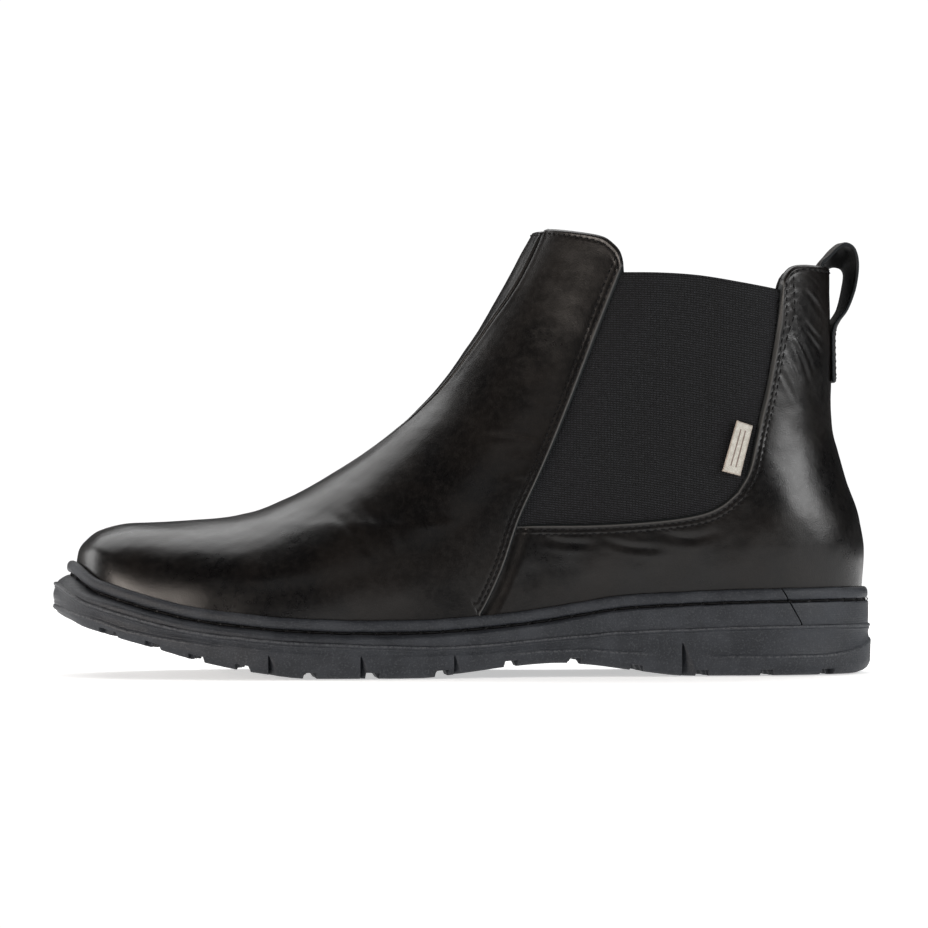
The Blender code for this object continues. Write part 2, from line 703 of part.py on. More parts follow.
def build_label(finish):
    sheet = Sheet()
    front, rear = np.array(LABEL_FRONT), np.array(LABEL_REAR)
    s, t = np.linspace(0, 1, 4)[:, None, None], np.linspace(0, 1, 7)[None, :, None]
    low, high = front[0] + s * (rear[0] - front[0]), front[1] + s * (rear[1] - front[1])
    sheet.grid(*skin(low + t * (high - low), "lateral"))
    pivot = skin(rear.mean(axis=0)[None], "lateral")[0][0]
    return sheet.solid("label_tag", LABEL_DEPTHS, finish, origin=pivot)


def stitch_pair(line, shifts):
    """Up one stitch row and back down the other, beside a line in the side view."""
    way = np.gradient(line, axis=0)
    way /= np.linalg.norm(way, axis=1, keepdims=True)
    aside = np.column_stack([-way[:, 1], way[:, 0]])
    return np.vstack([line + aside * shifts[0], (line + aside * shifts[1])[::-1]])


def build_seam_thread(name, line, side, finish):
    points, normals = skin(stitch_pair(line, SEAM_ROWS), side)
    return cord(name, points + normals * SEAM_THREAD_HEIGHT, SEAM_THREAD_RADIUS, finish)


def build_threads(finish):
    for side in SIDES:
        seam = vamp_seam(26.0, 146.0, count=9)
        build_seam_thread(f"vamp_seam_thread_{side}", seam, side, finish)
        edge = np.vstack([dense(GUSSET_BOTTOM)[8:], dense(GUSSET_REAR)[1:]])
        edge = along(edge[::-1], np.linspace(0.01, 0.99, 12))
        build_seam_thread(f"gusset_seam_thread_{side}", edge, side, finish)


# ---------------------------------------------------------------- pieces of the bottom


def plate(name, ring, inset, layer, finish):
    """A level-following plate between two heights over the featherline."""
    return stacked(name, [ring.row(inset, layer[0]), ring.row(inset, layer[1])], finish)


def build_shank(finish):
    x = np.linspace(*SHANK_RUN, 14)
    z, y = featherline(x), middle(x)
    sections = []
    for i in range(len(x)):
        edges = y[i] - SHANK_HALF_WIDTH, y[i] + SHANK_HALF_WIDTH
        faces = z[i] + SHANK[0], z[i] + SHANK[1]
        corners = [(0, 0), (1, 0), (1, 1), (0, 1)]
        sections.append([(x[i], edges[edge], faces[face]) for edge, face in corners])
    return swept("shank", sections, finish)


WELT_PROFILE = [(0.5, 0.2), (2.3, 0.0), (2.9, -1.4), (2.9, -2.9), (2.2, -3.4), (2.2, -5.0)]
WELT_THREAD_PLACE = (3.1, -4.2)


def build_welt(ring, finish):
    """The welt, a strip whose two ends meet on a slant near the heel."""
    width = welt_width(ring.x)
    rows = [ring.row(o, h) for o, h in WELT_PROFILE]
    rows.append(ring.row(width - 0.8, -6.0))
    rows.append(ring.row(width, welt_bottom(ring.x)))
    rows.append(ring.row(0.5, welt_bottom(ring.x)))
    sections = np.stack(rows, axis=1)
    first = int(np.searchsorted(ring.x[: ring.count], WELT_JOINT))
    order = np.roll(np.arange(len(ring.x)), -first)
    sections = sections[order]
    heights = sections[0, :, 2]
    slant = (1 - (heights - heights.min()) / np.ptp(heights))[:, None] * 7.0
    step = sections[1] - sections[0]
    step /= np.linalg.norm(step, axis=1, keepdims=True)
    sections[0] += step * slant
    end = sections[0] - step * 0.5
    return swept("welt_strip", [*sections, end], finish)


def build_outsole(ring, grooves, finish):
    width = welt_width(ring.x)
    top = ring.point[:, 2] + welt_bottom(ring.x) - PIECE_GAP
    edge = ring.at(width - 3.6, 0)
    tread = tread_line(edge[:, 0])
    foot = ring.at(width - 3.6, tread + grooves * GROOVE_DEPTH)
    side = ring.at(width - 0.9, tread + 3.4)
    floor = tread + FLOOR_THICKNESS
    rings = [
        ring.at(CUP_WALL, floor),
        ring.at(CUP_WALL, top),
        ring.at(width, top),
        side,
        foot,
    ]
    return stacked("outsole", rings, finish)


def build_core(ring, finish):
    inset = CUP_WALL - 2 * PIECE_GAP
    width = welt_width(ring.x)
    tread = tread_line(ring.at(width - 3.6, 0)[:, 0])
    bottom = ring.at(inset, tread + FLOOR_THICKNESS + 4 * PIECE_GAP)
    return stacked("midsole_core", [ring.row(inset, CORE_TOP), bottom], finish)


def groove_stations():
    """x values of the groove walls, and a test for stations inside a groove."""
    half = GROOVE_WIDTH / 2
    offsets = (-half - GROOVE_WALL, -half, half, half + GROOVE_WALL)
    walls = [centre + offset for centre in GROOVES for offset in offsets]

    def inside(x):
        return np.any([np.abs(x - centre) < half + 0.01 for centre in GROOVES], axis=0)

    return walls, inside


def build_bottom(rubber, foam, board, steel, thread):
    plain = Ring(stations(24))
    walls, inside = groove_stations()
    detailed = Ring(stations(22, walls))
    plate("footbed", plain, -8.5, FOOTBED, foam)
    plate("insole_board", plain, -4.3, BOARD, board)
    plate("bottom_filler", plain, -0.6, FILLER, foam)
    build_shank(steel)
    build_core(plain, foam)
    build_welt(Ring(stations(32)), rubber)
    build_outsole(detailed, inside(detailed.x).astype(float), rubber)
    welt_row = Ring(stations(26)).row(*WELT_THREAD_PLACE)
    cord("welt_thread", welt_row, WELT_THREAD_RADIUS, thread, closed=True)


def build_upper(leather, elastic, lining, stiffener, foam, strap, tape, thread):
    build_vamp(leather)
    build_vamp_layer("vamp_lining", LINING, lining)
    build_vamp_layer("toe_puff", STIFFENER, stiffener, columns=8, rows=-1)
    for side in SIDES:
        build_quarter(side, leather)
        build_quarter_lining(side, lining)
        build_collar_foam(side, foam)
        build_gusset(side, elastic)
    build_heel_counter(stiffener)
    strap_patch("pull_loop_outer_tail", (107.5, 129.6), (-2.1, -0.35), strap)
    strap_patch("pull_loop_inner_tail", (128, 149.6), FOAM, strap)
    build_pull_loop(strap)
    build_label(tape)
    build_threads(thread)


def main():
    for thing in list(bpy.data.objects):
        bpy.data.objects.remove(thing)
    leather = material("black_leather", (0.012, 0.011, 0.011), 0.32)
    elastic = material("black_elastic", (0.008, 0.008, 0.009), 0.8)
    lining = material("lining_textile", (0.03, 0.03, 0.032), 0.85)
    stiffener = material("stiffener_sheet", (0.35, 0.33, 0.3), 0.8)
    foam = material("foam", (0.05, 0.05, 0.055), 0.9)
    strap = material("strap_leather", (0.01, 0.01, 0.011), 0.5)
    tape = material("label_canvas", (0.42, 0.4, 0.37), 0.9)
    thread = material("black_thread", (0.006, 0.006, 0.006), 0.6)
    rubber = material("dark_rubber", (0.026, 0.028, 0.034), 0.6)
    board = material("insole_fibreboard", (0.3, 0.25, 0.2), 0.85)
    steel = material("shank_steel", (0.5, 0.5, 0.52), 0.35, 1.0)
    build_bottom(rubber, foam, board, steel, thread)
    build_upper(leather, elastic, lining, stiffener, foam, strap, tape, thread)


main()
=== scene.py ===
"""Looks for the left chelsea boot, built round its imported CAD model.

Toe towards -X, heel towards +X, lateral (outer) side towards -Y, +Z up. The shape code works in
millimetres; meshes are made in metres, in the CAD model's own frame.
"""

import math

import bmesh
import bpy
import numpy as np
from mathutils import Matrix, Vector


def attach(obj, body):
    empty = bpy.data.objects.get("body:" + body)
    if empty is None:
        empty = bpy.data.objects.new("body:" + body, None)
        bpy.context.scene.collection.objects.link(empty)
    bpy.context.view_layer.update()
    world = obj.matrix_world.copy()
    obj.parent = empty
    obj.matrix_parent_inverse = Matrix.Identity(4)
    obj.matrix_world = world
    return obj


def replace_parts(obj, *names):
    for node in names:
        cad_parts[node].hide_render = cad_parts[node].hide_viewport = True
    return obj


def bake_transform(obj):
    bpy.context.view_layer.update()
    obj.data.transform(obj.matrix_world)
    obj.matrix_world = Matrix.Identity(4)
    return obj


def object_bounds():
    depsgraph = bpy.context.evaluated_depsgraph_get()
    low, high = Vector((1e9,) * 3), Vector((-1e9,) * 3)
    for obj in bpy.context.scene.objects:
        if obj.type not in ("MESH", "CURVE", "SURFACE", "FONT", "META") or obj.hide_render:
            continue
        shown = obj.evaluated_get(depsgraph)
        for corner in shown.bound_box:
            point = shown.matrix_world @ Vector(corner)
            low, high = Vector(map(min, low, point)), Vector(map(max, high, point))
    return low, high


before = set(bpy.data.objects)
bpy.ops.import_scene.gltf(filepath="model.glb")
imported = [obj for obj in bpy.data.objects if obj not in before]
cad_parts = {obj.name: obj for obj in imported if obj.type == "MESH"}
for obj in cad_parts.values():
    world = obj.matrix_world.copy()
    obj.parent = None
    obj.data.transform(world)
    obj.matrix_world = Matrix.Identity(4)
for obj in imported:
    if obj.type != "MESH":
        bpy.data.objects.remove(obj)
cad_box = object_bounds()

MM = 0.001
SIDES = {"lateral": -1.0, "medial": 1.0}
LEATHER_THICKNESS = 1.5
LINING = (4.2, 5.2)  # depths of its outer and inner face under the leather's outer face
LINING_FOLD = 1.4  # how far a quarter lining ends below the collar
LAP = 7.0  # how far a quarter runs on under the vamp's edge
LAP_RAMP = 6.0  # length over which it dives under
ELASTIC_HEM = 8.0  # how far the elastic runs on under the vamp
GROOVES = (-128.7, -114.7, -99.9, -84.0, -61.0, -38.8, -13.6, 11.6, 35.5, 58.7, 82.9, 107.0, 129.4)
GROOVE_DEPTH = 2.2
GROOVE_HALF = 2.3
TREAD_HALF_WIDTH = 34.0
CUP_WALL = -0.9
FLOOR_THICKNESS = 6.0
TOE_CLIMB, TOE_CLIMB_LENGTH = 2.5, 9.0
STRIP_JOINT_X, STRIP_JOINT_SLANT = 112.3, 7.6
STRIP_TOP, STRIP_HEIGHT = 31.6, 12.9  # at that joint
WELT_PITCH = 8.1
FOOTBED_INSET = 8.8
FOAM_SPAN, FOAM_HEIGHTS, FOAM_DEPTH = (12, 26), (124, 146.8), 2.8


# ---------------------------------------------------------------- curves


def hermite(t, step, start, start_slope, end, end_slope):
    """The cubic over one step between two values with these slopes, at t from 0 to 1."""
    return (
        (2 * t**3 - 3 * t**2 + 1) * start
        + (t**3 - 2 * t**2 + t) * step * start_slope
        + (3 * t**2 - 2 * t**3) * end
        + (t**3 - t**2) * step * end_slope
    )


def smooth(*knots):
    """A function through (position, value) knots that rises and falls only as they do."""
    at, value = np.array(knots, float).T
    step = np.diff(at)
    slope = np.diff(value) / step
    tangent = np.zeros_like(value)
    tangent[0], tangent[-1] = slope[0], slope[-1]
    for i in range(1, len(value) - 1):
        if slope[i - 1] * slope[i] > 0:
            before, after = 2 * step[i] + step[i - 1], step[i] + 2 * step[i - 1]
            tangent[i] = (before + after) / (before / slope[i - 1] + after / slope[i])

    def function(position):
        position = np.asarray(position, float)
        i = np.clip(np.searchsorted(at, position) - 1, 0, len(step) - 1)
        raw = (position - at[i]) / step[i]
        t = np.clip(raw, 0, 1)
        inside = hermite(t, step[i], value[i], tangent[i], value[i + 1], tangent[i + 1])
        end = np.where(raw < 0, tangent[i], tangent[i + 1])
        return inside + end * (raw - t) * step[i]

    return function


def dense(points, per_span=24):
    """A rounded line through the points, as many short steps."""
    p = np.array(points, float)
    p = np.vstack([2 * p[0] - p[1], p, 2 * p[-1] - p[-2]])
    spans = []
    for a, b, c, d in zip(p, p[1:], p[2:], p[3:]):
        t = np.linspace(0, 1, per_span, endpoint=False)[:, None]
        turn = (c - a) * t + (2 * a - 5 * b + 4 * c - d) * t**2 + (3 * b - a - 3 * c + d) * t**3
        spans.append(b + turn / 2)
    return np.vstack([*spans, p[-2]])


def run_length(lines):
    """Distance along each line of points: (..., n, 3) to (..., n)."""
    step = np.linalg.norm(np.diff(lines, axis=-2), axis=-1)
    return np.concatenate([np.zeros((*step.shape[:-1], 1)), np.cumsum(step, axis=-1)], axis=-1)


def at_distance(wanted, run, values):
    """Every column of values at the wanted distances."""
    return np.stack([np.interp(wanted, run, column) for column in values.T], axis=-1)


def along(line, fractions):
    """Points at these fractions of a line's length."""
    line = np.asarray(line, float)
    run = run_length(line)
    return at_distance(np.asarray(fractions) * run[-1], run, line)


def ease(value, low, high):
    """0 below low, 1 above high, and a smooth step between."""
    t = np.clip((np.asarray(value, float) - low) / (high - low), 0, 1)
    return t * t * (3 - 2 * t)


def bell(away, width, power=2):
    """1 where away is 0, falling to nothing beyond a width or two."""
    return np.exp(-((away / width) ** power))


def unit(vectors):
    return vectors / np.linalg.norm(vectors, axis=-1, keepdims=True)


# ---------------------------------------------------------------- the last: the upper's outer surface

# Height of the toe and instep line, and of the shaft's front carried on above the collar
ridge_height = smooth(
    (-145, 20), (-143.6, 37), (-142.4, 45.3), (-139.5, 49.2), (-134.5, 52.6), (-124, 55.1),
    (-108, 56.0), (-92, 57.0), (-80, 59.2), (-65, 64.8), (-50, 72.7), (-28, 88), (-13, 102.3),
    (2, 121.6), (12, 138.5), (25.6, 163.5), (36, 183), (60, 228), (160, 420),
)  # fmt: skip
back_line = smooth(
    (10, 147.2), (33, 148.4), (44, 149.2), (56, 147.8), (71, 142.8), (82, 139.4), (91, 137.3),
    (101, 136.8), (112, 137.1), (131, 136.5), (150.3, 136.3), (180, 136.3),
)  # fmt: skip
featherline = smooth(
    (-150, 41), (-143.5, 39), (-138.8, 36.6), (-132, 34), (-117.6, 29.3), (-99, 25), (-83, 23),
    (-65, 21.4), (-37, 20.6), (-20, 20.8), (-3, 21.8), (19, 24), (40, 27.1), (52, 29),
    (76, 30.4), (106, 31.4), (130, 31.7), (152, 31.5),
)  # fmt: skip
middle = smooth((-150, 9), (-110, 8.5), (-75, 6.5), (-40, 4), (0, 1.5), (40, 0.5), (80, 0), (160, 0))
front_depth = smooth((-145, 33), (-105, 34), (-60, 42), (-20, 55), (20, 56), (60, 50), (160, 50))
BACK_DEPTH = 45.0

LEVELS = np.array([0.0, 15.0, 45.0, 85.0, 130.0])  # heights over the featherline
HALF_WIDTHS = {
    "lateral": (
        smooth((-145, 40), (-120, 42.5), (-95, 47.5), (-75, 50), (-50, 49.5), (-10, 44.5), (40, 36.5),
               (90, 34.5), (120, 35), (150, 35)),
        smooth((-145, 41), (-120, 44), (-95, 49), (-75, 51), (-50, 50), (-10, 44), (40, 37),
               (90, 35.5), (120, 36.5), (150, 36.5)),
        smooth((-145, 42), (-75, 47), (-50, 46), (-10, 40.5), (40, 36), (90, 34.8), (150, 35)),
        smooth((-60, 38), (-10, 36), (40, 34.3), (90, 33.5), (150, 33.2)),
        smooth((-60, 36), (20, 34.5), (80, 35.5), (150, 34)),
    ),
    "medial": (
        smooth((-145, 30), (-125, 31.5), (-105, 35), (-80, 38.5), (-60, 37.5), (-40, 35), (0, 31.5),
               (45, 30.5), (90, 33), (120, 35), (150, 35)),
        smooth((-145, 31), (-125, 33), (-105, 36.5), (-80, 40), (-60, 39), (-40, 36.5), (0, 33),
               (45, 32.5), (90, 34.5), (120, 36), (150, 36)),
        smooth((-145, 32), (-80, 38), (-40, 35.5), (0, 34), (45, 33.5), (90, 34), (150, 34.5)),
        smooth((-60, 36), (-10, 34), (40, 33.3), (90, 33), (150, 33)),
        smooth((-60, 35), (20, 33.8), (80, 34.8), (150, 33.6)),
    ),
}  # fmt: skip

_xs = np.arange(-145.0, 160.0, 0.05)
_zs = ridge_height(_xs)


def ridge_front(z):
    """The x at which the ridge line reaches the height z."""
    return np.interp(z, _zs, _xs)


def half_width(x, z, side):
    """Half the upper's width at (x, z), before it rounds off towards the ridge and the back."""
    levels = np.stack([level(x) for level in HALF_WIDTHS[side]])
    slopes = np.gradient(levels, LEVELS, axis=0)
    h = np.clip(z - featherline(x), LEVELS[0], LEVELS[-1])
    i = np.clip(np.searchsorted(LEVELS, h) - 1, 0, len(LEVELS) - 2)
    step = (LEVELS[1:] - LEVELS[:-1])[i]
    t = (h - LEVELS[i]) / step

    def pick(table, index):
        return np.take_along_axis(table, np.asarray(index)[None], axis=0)[0]

    return hermite(t, step, pick(levels, i), pick(slopes, i), pick(levels, i + 1), pick(slopes, i + 1))


def roundness(x, z):
    """Square of how far the upper has opened out: 0 on the ridge and the back line, then 1."""
    dx = x - ridge_front(z)
    dz = ridge_height(x) - z
    front = dx * np.abs(dz) / np.sqrt(dx * dx + dz * dz + 1e-9) / front_depth(x)
    back = (back_line(z) - x) / BACK_DEPTH
    return (1 - (1 - np.minimum(front, 1)) ** 2) * (1 - (1 - np.minimum(back, 1)) ** 2)


def level_set(x, y, z, side):
    return ((y - middle(x)) / half_width(x, z, side)) ** 2 - roundness(x, z)


def skin(xz, side, on_ridge=None):
    """Points and outward normals of the upper's outer surface over (x, z) points."""
    x, z = np.asarray(xz, float)[..., 0], np.asarray(xz, float)[..., 1]
    open_by = np.sqrt(np.clip(roundness(x, z), 0, None))
    if on_ridge is not None:
        open_by = np.where(on_ridge, 0, open_by)
    y = middle(x) + SIDES[side] * half_width(x, z, side) * open_by
    steps = 0.2 * np.eye(3)
    slope = [
        level_set(x + a, y + b, z + c, side) - level_set(x - a, y - b, z - c, side) for a, b, c in steps
    ]
    return np.stack([x, y, z], axis=-1), unit(np.stack(slope, axis=-1))


def crossing(inside, outside, height):
    """Where the surface at that height above the featherline closes, between two x values."""
    for _ in range(50):
        mid = (inside + outside) / 2
        if roundness(mid, featherline(mid) + height) > 0:
            inside = mid
        else:
            outside = mid
    return inside


TOE_TIP = crossing(-100, -150, 0)
HEEL_TIP = crossing(100, 155, 0)


# ---------------------------------------------------------------- seams, as lines in the side view

vamp_seam_x = smooth(
    (15, -3.0), (21.7, 1.4), (38.8, 9.8), (56.2, 16), (72.1, 23.4), (88.8, 30.7), (111.4, 39.8),
    (130.3, 47.1), (142.3, 51.9), (147.4, 54.2), (165, 61),
)  # fmt: skip
SEAM_FOOT, SEAM_TURN, SEAM_TOP = 22.2, 55.4, 147.4
FRONT_COLLAR = [(25.6, 163.5), (33, 162.7), (46, 160.2), (50.6, 157.4), (53.4, 153.4), (54.2, 147.4)]
GUSSET_BOTTOM = [(17.8, 55.4), (45.2, 55.6), (67.2, 57), (81.9, 59.2), (90, 62.4), (96, 67.3)]
GUSSET_REAR = [(96, 67.3), (100.4, 75), (103.2, 86), (105.5, 95.1), (108.3, 106.1), (110.9, 118.9),
               (112.7, 129.8), (113.9, 141.2)]  # fmt: skip
BACK_COLLAR = [(136.3, 150.3), (130.8, 150.4), (123.1, 150.5), (118.4, 149.2), (115.4, 146),
               (113.9, 141.2)]  # fmt: skip
GUSSET_TOP = [(46.3, 147.6), (54.6, 147.4), (67.5, 147.1), (82.2, 146.1), (96.9, 143.9),
              (113.9, 141.2), (122, 139.9)]  # fmt: skip
ELASTIC_BOTTOM = [(11.5, 54.4), (21, 52.2), (36, 47.8), (67, 49), (85, 51.2), (97, 56), (104, 65)]
ELASTIC_REAR = [(104, 65), (110.5, 86), (116, 106), (119, 119), (120.7, 130), (122, 139.9)]


def vamp_seam(low, high, shift=0.0, count=40):
    z = np.linspace(low, high, count)
    return np.stack([vamp_seam_x(z) + shift, z], axis=1)


# ---------------------------------------------------------------- patches: grids of (x, z) points


def collar_pull(columns, collar, spread, fractions):
    """Bends the last columns of a patch to the curve of its collar."""
    pull = along(collar, spread) - columns[-1]
    weight = ease(fractions, 0.72, 1.0)
    return columns + weight[:, None, None] * pull


def vamp_columns(fractions, rows, foot=0.0):
    """Lines round the vamp, from the ridge down to the featherline or the vamp seam."""
    tip = crossing(-100, -150, foot)
    ridge_x = tip + (25.6 - tip) * np.linspace(0, 1, 4000) ** 2
    ridge = np.stack([ridge_x, ridge_height(ridge_x)], axis=1)
    ridge[0, 1] = featherline(tip) + foot
    foot_x = tip + (vamp_seam_x(SEAM_FOOT) - tip) * np.linspace(0, 1, 400) ** 2
    foot_line = np.stack([foot_x, featherline(foot_x) + foot], axis=1)
    run = run_length(skin(foot_line, "lateral")[0])
    seam = vamp_seam(foot_line[-1, 1], SEAM_TOP)
    edge = np.vstack([foot_line, seam[1:]])
    total = np.concatenate([run, run[-1] + run_length(seam)[1:]])
    lower = at_distance(fractions * total[-1], total, edge)
    upper = along(ridge, fractions)
    spread = 1 - np.cos(np.linspace(0, math.pi / 2, rows))
    columns = upper[:, None] + spread[None, :, None] * (lower - upper)[:, None]
    columns = collar_pull(columns, dense(FRONT_COLLAR), spread, fractions)
    on_featherline = fractions * total[-1] <= run[-1] + 1e-6
    return columns, on_featherline


def unrolled(xz):
    """(x, z) to (distance round the back from the back seam, z)."""
    q = (back_line(xz[:, 1]) - xz[:, 0]) / BACK_DEPTH
    round_part = np.arccos(1 - np.clip(q, 0, 1))
    u = BACK_DEPTH * np.where(q < 1, round_part, math.pi / 2 + q - 1)
    return np.stack([u, xz[:, 1]], axis=1)


def rolled(uz):
    """The way back from unrolled()."""
    a = uz[..., 0] / BACK_DEPTH
    q = np.where(a < math.pi / 2, 1 - np.cos(np.clip(a, 0, math.pi / 2)), 1 + a - math.pi / 2)
    return np.stack([back_line(uz[..., 1]) - BACK_DEPTH * q, uz[..., 1]], axis=-1)


LAP_SHARE, CORNER = 0.05, 0.56  # shares of a quarter's length up to the lap's end and to the heel


def legs(lines, fractions):
    """Points along three lines end to end, whose ends fall at LAP_SHARE, CORNER and 1."""
    ends = (0, LAP_SHARE, CORNER, 1)
    f = np.asarray(fractions)[:, None]
    found = along(lines[0], np.clip(f[:, 0] / LAP_SHARE, 0, 1))
    for line, low, high in zip(lines[1:], ends[1:], ends[2:]):
        found = np.where(f > low, along(line, np.clip((f[:, 0] - low) / (high - low), 0, 1)), found)
    return found


def quarter_columns(fractions, rows, foot=0.0):
    """Lines across a quarter, from the featherline and back seam in to the gusset's edge."""
    fractions = np.array(fractions)
    fractions[np.argmin(np.abs(fractions - CORNER))] = CORNER
    tip = crossing(100, 155, foot)
    seam_x = vamp_seam_x(SEAM_FOOT)
    lap_x = np.linspace(seam_x - LAP, seam_x + LAP_RAMP, 30)
    x = tip - (tip - lap_x[-1]) * np.linspace(1, 0, 400) ** 2
    lap_line, foot_line = [np.stack([v, featherline(v) + foot], axis=1) for v in (lap_x, x)]
    z = np.linspace(featherline(tip) + foot, BACK_COLLAR[0][1], 100)
    back_seam = np.stack([0 * z, z], axis=1)
    outer = legs([unrolled(lap_line), unrolled(foot_line), back_seam], fractions)
    bottom_x, bottom_z = GUSSET_BOTTOM[0]
    lap_line = np.stack([lap_x - seam_x + bottom_x, np.full(len(lap_x), bottom_z)], axis=1)
    bottom = dense([lap_line[-1], *GUSSET_BOTTOM[1:]])
    inner = legs([unrolled(lap_line), unrolled(bottom), unrolled(dense(GUSSET_REAR))], fractions)
    across = np.linspace(0, 1, rows)
    columns = outer[:, None] + across[None, :, None] * (inner - outer)[:, None]
    columns = collar_pull(columns, unrolled(dense(BACK_COLLAR)), across, fractions)
    return rolled(columns), fractions >= CORNER


def coons(bottom, rear, top, front, columns, rows):
    """A grid filling four curves: bottom and top run rearwards, front and rear upwards."""
    s, t = np.linspace(0, 1, columns), np.linspace(0, 1, rows)
    b, u = along(dense(bottom), s), along(dense(top), s)
    f, r = along(dense(front), t), along(dense(rear), t)
    s, t = s[:, None, None], t[None, :, None]
    corners = (1 - s) * (1 - t) * b[0] + s * (1 - t) * b[-1] + (1 - s) * t * u[0] + s * t * u[-1]
    return (1 - t) * b[:, None] + t * u[:, None] + (1 - s) * f[None] + s * r[None] - corners


# ---------------------------------------------------------------- the ring round the sole


def stations(count):
    """x values from the toe tip to the heel tip, closer together at both ends."""
    swing = 1 - np.cos(np.linspace(0, math.pi, count))
    return TOE_TIP + (HEEL_TIP - TOE_TIP) * swing / 2


class Ring:
    """The featherline as a closed ring: lateral side toe to heel, then medial side back."""

    def __init__(self, xs):
        self.x = np.concatenate([xs, xs[-2:0:-1]])
        ends = np.zeros(len(xs), bool)
        ends[0] = ends[-1] = True
        line = np.stack([xs, featherline(xs)], axis=1)
        lateral, out_lateral = skin(line, "lateral", ends)
        medial, out_medial = skin(line, "medial", ends)
        self.point = np.vstack([lateral, medial[-2:0:-1]])
        self.out = unit(np.vstack([out_lateral, out_medial[-2:0:-1]])[:, :2])
        self.count = len(xs)

    def at(self, outward, z):
        plan = self.point[:, :2] + self.out * np.broadcast_to(outward, self.x.shape)[:, None]
        return np.column_stack([plan, np.broadcast_to(z, self.x.shape)])

    def rows(self, outs, heights):
        """The ring's points for each row of distances outward and heights, as one grid."""
        return np.stack([self.at(o, z) for o, z in zip(outs, heights)], axis=1)

    def sides(self, values):
        """Rows of values round the ring as a lateral and a medial side, both toe to heel."""
        n = self.count
        return values[:n], np.vstack([values[:1], values[: n - 1 : -1], values[n - 1 : n]])


welt_width = smooth(
    (-150, 8.5), (-125, 8.2), (-90, 7.2), (-50, 6.8), (0, 5.6), (40, 4.8), (90, 3.7), (125, 3.3),
    (152, 3.4),
)  # fmt: skip
welt_bottom = smooth(
    (-150, -7.4), (-125, -8.2), (-65, -8.0), (-38, -8.4), (-10, -9.7), (23, -10.4), (42, -11.8),
    (60, -12.9), (150, -13.4),
)  # fmt: skip
tread_line = smooth(
    (-156, 28), (-150, 22.5), (-143, 19.0), (-131, 15), (-116, 10.7), (-99, 5.9), (-81, 2.3),
    (-60, 0), (-22, 0), (-4, 1.9), (12, 3.9), (30, 5.0), (41, 4.3), (58, 2.1), (78, 0),
    (140, 0), (149, 1.5), (156, 4.0),
)  # fmt: skip


# ---------------------------------------------------------------- grids of points on the upper

EDGE = np.array([0, 0.15, 0.35, 0.6, 0.85, 1.1, 1.4, 1.8, 2.2, 2.6, 3.0, 3.4, 3.8, 4.2, 4.8, 5.6, 6.6])
ROW_A, ROW_B = 2.2, 3.8  # distances of the two stitch rows from a cut edge
SEAM = np.array([0, 0.25, 0.5, 0.8, 1.2, 1.8, 2.6])
PITCH = 2.5  # stitch length
FOOT = -3.0  # the leather runs on behind the welt
TOTAL_VAMP, TOTAL_QUARTER = 272.0, 262.0


def sample(lines, runs, wanted):
    """Every line's values at the wanted distances along it."""
    return np.stack([at_distance(*line) for line in zip(wanted, runs, lines)])


def spaced(length, start, end, count, stretch=(1.0, 1.0)):
    """count distances over each length, with close ones near its start and its end."""
    start = start[None] * np.broadcast_to(stretch[0], length.shape)[:, None]
    end = end[None] * np.broadcast_to(stretch[1], length.shape)[:, None]
    squeeze = np.minimum(1, length / (2.0 * (start[:, -1] + end[:, -1]) + 1))[:, None]
    first = start * squeeze
    last = length[:, None] - end[:, ::-1] * squeeze
    inner = np.linspace(0, 1, count - start.shape[1] - end.shape[1] + 2)[1:-1]
    between = first[:, -1:] + (last[:, :1] - first[:, -1:]) * inner
    return np.concatenate([first, between, last], axis=1)


def slant(lines, end):
    """How many times longer a line's way off an edge is than the straight way across."""
    tip, before = (lines[:, 0], lines[:, 2]) if end == 0 else (lines[:, -1], lines[:, -3])
    edge, way = np.gradient(tip, axis=0), before - tip
    turn = np.linalg.norm(np.cross(edge, way), axis=1)
    size = np.linalg.norm(edge, axis=1) * np.linalg.norm(way, axis=1)
    return np.clip(size / np.maximum(turn, 1e-9), 1.0, 2.5)


def shares(total, count):
    """Fractions of a panel's length, close together at its collar end."""
    close = 1 - EDGE[::-1] / total
    return np.concatenate([np.linspace(0, close[0], count, endpoint=False), close])


def waves(points, length, seed, count=9):
    """A smooth irregular field between about -1 and 1, from crossing waves."""
    rng = np.random.default_rng(seed)
    ways = unit(rng.normal(size=(count, 3)))
    phases = rng.uniform(0, 2 * math.pi, count)
    sizes = rng.uniform(0.7, 1.5, count)
    field = 0
    for way, phase, size in zip(ways, phases, sizes):
        field = field + np.sin(points @ way * (2 * math.pi * size / length) + phase)
    return field / math.sqrt(count)


